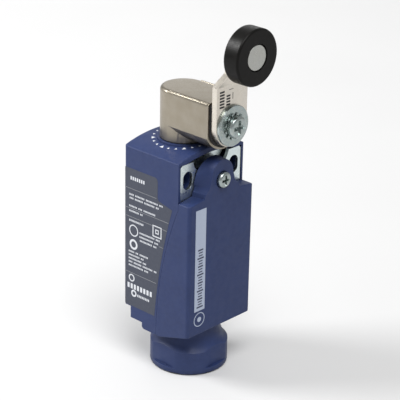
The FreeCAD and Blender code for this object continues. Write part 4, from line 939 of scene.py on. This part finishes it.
# the ring under the strip: its drop, its shift, its radius, its wall and the gap round its dot
RING_DROP = 3.35 * MM
RING_SHIFT = 0.05 * MM
RING_RADIUS = 2.6 * MM
RING_WALL = 0.32 * MM
RING_GAP = 1.35 * MM
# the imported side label's thickness in films of print: the panel's face is sunk by two films, and its marks
# stand one film proud of that
LABEL_FILMS = 4
RULE_WIDTH = 0.13 * MM
# rows of blocks on the side label, in millimetres: drop from the top, start, length, height, words
LABEL_ROWS = (
    (3.4, 2.6, 7.0, 1.25, 1),
    (9.4, 2.0, 16.0, 0.62, 4),
    (10.7, 2.2, 14.0, 0.62, 4),
    (13.6, 2.0, 12.6, 0.62, 3),
    (15.4, 2.0, 6.6, 0.62, 2),
    (18.9, 2.0, 7.0, 0.70, 1),
    (22.3, 7.0, 9.8, 0.62, 2),
    (23.7, 7.0, 9.0, 0.62, 2),
    (25.1, 7.2, 8.0, 0.62, 2),
    (30.4, 1.8, 9.4, 0.62, 3),
    (31.7, 1.8, 7.4, 0.62, 2),
    (33.0, 1.8, 8.6, 0.62, 2),
    (34.3, 1.8, 13.6, 0.62, 4),
    (35.6, 1.8, 9.6, 0.62, 2),
    (43.4, 1.2, 12.4, 1.9, 1),
    (46.2, 6.0, 6.0, 0.9, 1),
)
# its divider lines: drop from the top, start, length
LABEL_LINES = (
    (7.3, 0.4, 14.4),
    (14.5, 0.4, 20.2),
    (17.6, 0.4, 19.4),
    (38.4, 0.4, 14.6),
    (24.3, 16.2, 2.0),
)
# its outlined marks: drop from the top, start, size, wall, corners
LABEL_MARKS = (
    (17.2, 13.2, 4.2, 0.40, 4),
    (18.5, 14.5, 1.6, 0.35, 4),
    (20.2, 2.0, 4.3, 0.40, 32),
    (25.6, 2.2, 3.8, 0.75, 32),
    (38.9, 1.8, 2.8, 0.45, 32),
    (44.6, 3.0, 2.6, 0.6, 32),
)
# rows of blocks on the lever: middle across, start above the shaft, length, width, pitch
LEVER_ROWS = (
    (-4.85, 6.9, 6.1, 2.2, 0.95),
    (-1.9, 7.3, 3.9, 1.8, 0.95),
    (0.2, 9.0, 3.6, 0.25, 9),
    (-0.7, 12.4, 0.3, 2.0, 9),
)
# a row's words and blocks: gap between words in millimetres, how unevenly long they are and how fast that
# changes, least pitch of the blocks and pitch beside their height, and how much of the pitch is inked
WORD_GAP = 0.55
WORD_SPREAD = 0.6
WORD_CHANGE = 2.4
BLOCK_PITCH = 0.62
BLOCK_PITCH_SHARE = 0.8
BLOCK_FILL = 0.62


def lay_bars(name, bars):
    """Many thin closed bars in one piece; each is (middle, size) as vectors."""
    deselect()
    place, size = bars[0]
    bpy.ops.mesh.primitive_cube_add(size=1, location=place, scale=size)
    piece = name_new(name)
    settle(piece)
    edit(piece)
    for place, size in bars[1:]:
        bpy.ops.mesh.primitive_cube_add(size=1, location=place, scale=size)
    leave_edit()
    return piece


class SWITCH_OT_index_marks(bpy.types.Operator):
    """Triangles printed round the turret, pointing at its axis, larger at every third one"""
    bl_idname = "switch.index_marks"
    bl_label = "Index marks"

    def execute(self, context):
        spec = sizes()
        turret = middle_of("plunger_guide")
        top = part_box("rear_case")[1].z + PAST
        marks = []
        for number in range(spec.scale_count):
            angle = math.tau * number / spec.scale_count
            radius = spec.scale_small if number % LARGE_EVERY else spec.scale_large
            deselect()
            bpy.ops.mesh.primitive_circle_add(
                vertices=3, radius=radius, fill_type="NGON",
                location=(turret.x + spec.scale_radius * math.cos(angle),
                          turret.y + spec.scale_radius * math.sin(angle), top))
            mark = name_new("mark")
            mark.rotation_euler.z = math.atan2(-math.sin(angle), -math.cos(angle)) - QUARTER
            settle(mark)
            marks.append(mark)
        scale = join("index_marks", marks)
        edit(scale)
        bpy.ops.mesh.select_all(action="SELECT")
        bpy.ops.mesh.subdivide(number_cuts=1)
        leave_edit()
        modify(scale, "SHRINKWRAP", target=frame["nodes"]["rear_case"], wrap_method="PROJECT",
               use_project_z=True, use_negative_direction=True, use_positive_direction=False,
               offset=spec.print_film)
        modify(scale, "SOLIDIFY", thickness=spec.print_film * 2, offset=-1)
        finish_piece(scale, "case", finish_of("light_ink"))
        return {"FINISHED"}


class SWITCH_OT_front_print(bpy.types.Operator):
    """The ruled marks on the pale strip and the plain ring mark under it"""
    bl_idname = "switch.front_print"
    bl_label = "Front print"

    def execute(self, context):
        low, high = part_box("front_strip")
        face = low.y
        film = sizes().print_film
        bars = []
        middle = (low.x + high.x) / 2
        for number in range(int(TICKS_SHARE * (high.z - low.z) / TICK_STEP)):
            tall = TICK_HEIGHTS[number % len(TICK_HEIGHTS)] * MM
            thick = TICK_WIDTHS[number % len(TICK_WIDTHS)] * MM
            along = low.z + TICKS_START + TICK_STEP * (number + 0.5)
            bars.append(((middle + TICK_SHIFT, face - film / 2, along), (tall, film, thick)))
        ticks = lay_bars("strip_ticks", bars)
        finish_piece(ticks, "cover", finish_of("dark_ink"))
        self.add_ring(middle + RING_SHIFT, low.z - RING_DROP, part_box("front_cover")[0].y)
        return {"FINISHED"}

    def add_ring(self, x, z, face):
        """A ring with a dot in its middle."""
        film = sizes().print_film
        inner = RING_RADIUS - RING_WALL
        deselect()
        bpy.ops.mesh.primitive_circle_add(vertices=64, radius=RING_RADIUS, fill_type="NGON",
                                          location=(x, face - film, z), rotation=(QUARTER, 0, 0))
        ring = name_new("ring_mark")
        settle(ring)
        edit(ring)
        bpy.ops.mesh.select_all(action="SELECT")
        bpy.ops.mesh.inset(thickness=RING_WALL)
        bpy.ops.mesh.inset(thickness=RING_GAP)
        pick("faces", lambda face: inner - RING_GAP < math.hypot(
            face.calc_center_median().x - x, face.calc_center_median().z - z) < inner)
        bpy.ops.mesh.delete(type="FACE")
        leave_edit()
        modify(ring, "SOLIDIFY", thickness=film, offset=-1)
        finish_piece(ring, "cover", finish_of("strip_print"))


class SWITCH_OT_label(bpy.types.Operator):
    """The grey side panel with divider lines, rows of small plain blocks and plain outlined marks"""
    bl_idname = "switch.label"
    bl_label = "Side label"

    def execute(self, context):
        low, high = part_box("rating_label")
        film = (high.x - low.x) / LABEL_FILMS
        panel = merged_copy("rating_label", "label_panel")
        edit(panel)
        pick("verts", lambda vert: vert.co.x < low.x + film)
        bpy.ops.transform.translate(value=(2 * film, 0, 0))
        leave_edit()
        smooth(panel)
        finish_piece(panel, "case", finish_of("label_grey"), ["rating_label"])
        face = low.x + 2 * film
        self.add_rows(face, film, high)
        self.add_lines(face, film, high)
        self.add_marks(face, film, high)
        return {"FINISHED"}

    def add_rows(self, face, film, high):
        """Blocks run from the back edge forwards; heights are measured down from the panel's top."""
        bars = []
        for drop, start, length, tall, words in LABEL_ROWS:
            left = high.y - start * MM
            pitch = max(BLOCK_PITCH, tall * BLOCK_PITCH_SHARE)
            for begin, span in word_spans(length, words, pitch):
                across = left - (begin + span / 2) * MM
                place = (face - film / 2, across, high.z - drop * MM)
                bars.append((place, (film, span * MM, tall * MM)))
        print_rows = lay_bars("label_blocks", bars)
        finish_piece(print_rows, "case", finish_of("light_ink"))

    def add_lines(self, face, film, high):
        lines = []
        for drop, start, length in LABEL_LINES:
            place = (face - film / 2, high.y - (start + length / 2) * MM, high.z - drop * MM)
            lines.append((place, (film, length * MM, RULE_WIDTH)))
        ruled = lay_bars("label_rules", lines)
        finish_piece(ruled, "case", finish_of("faint_ink"))

    def add_marks(self, face, film, high):
        """Two nested squares and four rings."""
        marks = join("label_marks", [self.frame_mark(face, film, high, *row) for row in LABEL_MARKS])
        finish_piece(marks, "case", finish_of("light_ink"))

    def frame_mark(self, face, film, high, drop, start, size, wall, corners):
        centre = Vector((face - film, high.y - (start + size / 2) * MM, high.z - (drop + size / 2) * MM))
        radius = size / 2 * MM * (math.sqrt(2) if corners == 4 else 1)
        deselect()
        bpy.ops.mesh.primitive_circle_add(vertices=corners, radius=radius, fill_type="NGON",
                                          rotation=(0, 0, math.pi / corners))
        mark = name_new("mark")
        settle(mark)
        mark.rotation_euler.y = -QUARTER
        mark.location = centre
        settle(mark)
        edit(mark)
        bpy.ops.mesh.select_all(action="SELECT")
        bpy.ops.mesh.inset(thickness=wall * MM)
        bpy.ops.mesh.delete(type="FACE")
        leave_edit()
        modify(mark, "SOLIDIFY", thickness=film, offset=-1)
        return mark


def word_spans(length, words, pitch):
    """Starts and lengths of a row's blocks: words of uneven size, each broken into narrow blocks."""
    spans = []
    share = [1 + WORD_SPREAD * math.sin(WORD_CHANGE * number + words) for number in range(words)]
    unit = (length - WORD_GAP * (words - 1)) / sum(share)
    begin = 0.0
    for part in share:
        word = part * unit
        blocks = max(1, round(word / pitch))
        step = word / blocks
        for number in range(blocks):
            spans.append((begin + number * step, step * BLOCK_FILL))
        begin += word + WORD_GAP
    return spans


class SWITCH_OT_lever_print(bpy.types.Operator):
    """Two short rows of dark blocks and a corner line on the lever's face"""
    bl_idname = "switch.lever_print"
    bl_label = "Lever print"

    def execute(self, context):
        low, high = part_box("lever_arm")
        shaft = middle_of("operating_shaft")
        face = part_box("lever_washer")[1].y
        film = sizes().print_film
        bars = []
        for x, start, length, wide, pitch in LEVER_ROWS:
            for begin, span in word_spans(length, 1, pitch):
                place = (x * MM, face - film / 2, shaft.z + (start + begin + span / 2) * MM)
                bars.append((place, (wide * MM, film, span * MM)))
        piece = lay_bars("lever_marks", bars)
        finish_piece(piece, "lever", finish_of("black_ink"))
        return {"FINISHED"}


# ---------------------------------------------------------------- studio
# where the lights stand, from the switch's middle, how far off and how wide the two discs are, and how wide
# the key light's sun looks
KEY_DIRECTION = (-0.26, -0.40, 0.88)
RIM_DIRECTION = (-0.51, 0.63, 0.59)
BACK_DIRECTION = (0.67, 0.63, 0.39)
LIGHT_DISTANCE = 0.9
RIM_WIDTH = 0.36
BACK_WIDTH = 0.5
KEY_SPREAD = math.radians(35)
FLOOR_RADIUS = 3.0
FLOOR_BORDER = 2.2
FLOOR_GAP = 0.1 * MM
FLOOR_SHADE = (0.60, 0.60, 0.60)
SENSOR_WIDTH = 36
NEAREST, FARTHEST = 0.01, 20


class SWITCH_OT_stage(bpy.types.Operator):
    """Floor, soft lights and the camera"""
    bl_idname = "switch.stage"
    bl_label = "Studio"

    def execute(self, context):
        studio = context.scene.switch_studio
        low, high = CAD_BOX
        middle = (Vector(low) + Vector(high)) / 2
        self.add_floor(low[2])
        self.add_disc("rim_light", middle, Vector(RIM_DIRECTION), RIM_WIDTH, studio.rim_power)
        self.add_disc("back_light", middle, Vector(BACK_DIRECTION), BACK_WIDTH, studio.back_power)
        self.add_sun("key_light", Vector(KEY_DIRECTION), studio.key_strength)
        world = bpy.data.worlds.new("surround")
        world.use_nodes = True
        background = world.node_tree.nodes["Background"]
        background.inputs["Color"].default_value = (1.0, 1.0, 1.0, 1)
        background.inputs["Strength"].default_value = studio.sky
        context.scene.world = world
        context.scene.view_settings.view_transform = "Standard"
        self.add_camera(studio, middle + Vector(studio.aim))
        return {"FINISHED"}

    def add_floor(self, height):
        deselect()
        bpy.ops.mesh.primitive_circle_add(vertices=96, radius=FLOOR_RADIUS, fill_type="NGON",
                                          location=(0, 0, height - FLOOR_GAP))
        floor = name_new("floor")
        edit(floor)
        bpy.ops.mesh.select_all(action="SELECT")
        bpy.ops.mesh.inset(thickness=FLOOR_BORDER)
        leave_edit()
        settle(floor)
        floor.data.materials.append(floor_finish("floor_card", FLOOR_SHADE))

    def add_disc(self, name, target, direction, width, power):
        data = bpy.data.lights.new(name, "AREA")
        data.shape = "DISK"
        data.size = width
        data.energy = power
        light = bpy.data.objects.new(name, data)
        light.location = target + LIGHT_DISTANCE * direction
        light.rotation_euler = direction.to_track_quat("Z", "Y").to_euler()
        bpy.context.scene.collection.objects.link(light)

    def add_sun(self, name, direction, strength):
        data = bpy.data.lights.new(name, "SUN")
        data.energy = strength
        data.angle = KEY_SPREAD
        light = bpy.data.objects.new(name, data)
        light.rotation_euler = direction.to_track_quat("Z", "Y").to_euler()
        bpy.context.scene.collection.objects.link(light)

    def add_camera(self, studio, aim):
        flat = Vector((-math.sin(studio.azimuth), -math.cos(studio.azimuth), 0))
        back = flat * math.cos(studio.elevation) + Vector((0, 0, math.sin(studio.elevation)))
        right = Vector((0, 0, 1)).cross(back).normalized()
        lean = Matrix.Rotation(-studio.roll, 3, back)
        axes = Matrix((lean @ right, lean @ back.cross(right), back)).transposed()
        data = bpy.data.cameras.new("camera")
        data.lens = studio.lens
        data.sensor_width = SENSOR_WIDTH
        data.clip_start = NEAREST
        data.clip_end = FARTHEST
        camera = bpy.data.objects.new("camera", data)
        camera.matrix_world = Matrix.Translation(aim + back * studio.distance) @ axes.to_4x4()
        bpy.context.scene.collection.objects.link(camera)
        bpy.context.scene.camera = camera


class SWITCH_PT_panel(bpy.types.Panel):
    """Sizes, colours and steps of the limit switch"""
    bl_idname = "SWITCH_PT_panel"
    bl_label = "Limit Switch"
    bl_space_type = "VIEW_3D"
    bl_region_type = "UI"
    bl_category = "Limit Switch"

    def draw(self, context):
        column = self.layout.column(align=True)
        for group in (context.scene.switch_sizes, context.scene.switch_colours, context.scene.switch_studio):
            for key in group.bl_rna.properties.keys():
                if key not in ("rna_type", "name"):
                    column.prop(group, key)
        for step in STEPS:
            column.operator(step.bl_idname)


STEPS = (
    SWITCH_OT_finishes,
    SWITCH_OT_case,
    SWITCH_OT_cover,
    SWITCH_OT_head,
    SWITCH_OT_lever,
    SWITCH_OT_screws,
    SWITCH_OT_springs,
    SWITCH_OT_index_marks,
    SWITCH_OT_front_print,
    SWITCH_OT_label,
    SWITCH_OT_lever_print,
    SWITCH_OT_stage,
)
CLASSES = (SwitchColours, SwitchSizes, SwitchStudio, SWITCH_PT_panel) + STEPS


def register():
    for item in CLASSES:
        bpy.utils.register_class(item)
    bpy.types.Scene.switch_colours = bpy.props.PointerProperty(type=SwitchColours)
    bpy.types.Scene.switch_sizes = bpy.props.PointerProperty(type=SwitchSizes)
    bpy.types.Scene.switch_studio = bpy.props.PointerProperty(type=SwitchStudio)


def unregister():
    del bpy.types.Scene.switch_studio
    del bpy.types.Scene.switch_sizes
    del bpy.types.Scene.switch_colours
    for item in reversed(CLASSES):
        bpy.utils.unregister_class(item)


def main():
    register()
    for step in STEPS:
        family, verb = step.bl_idname.split(".")
        getattr(getattr(bpy.ops, family), verb)()


if __name__ == "__main__":
    main()
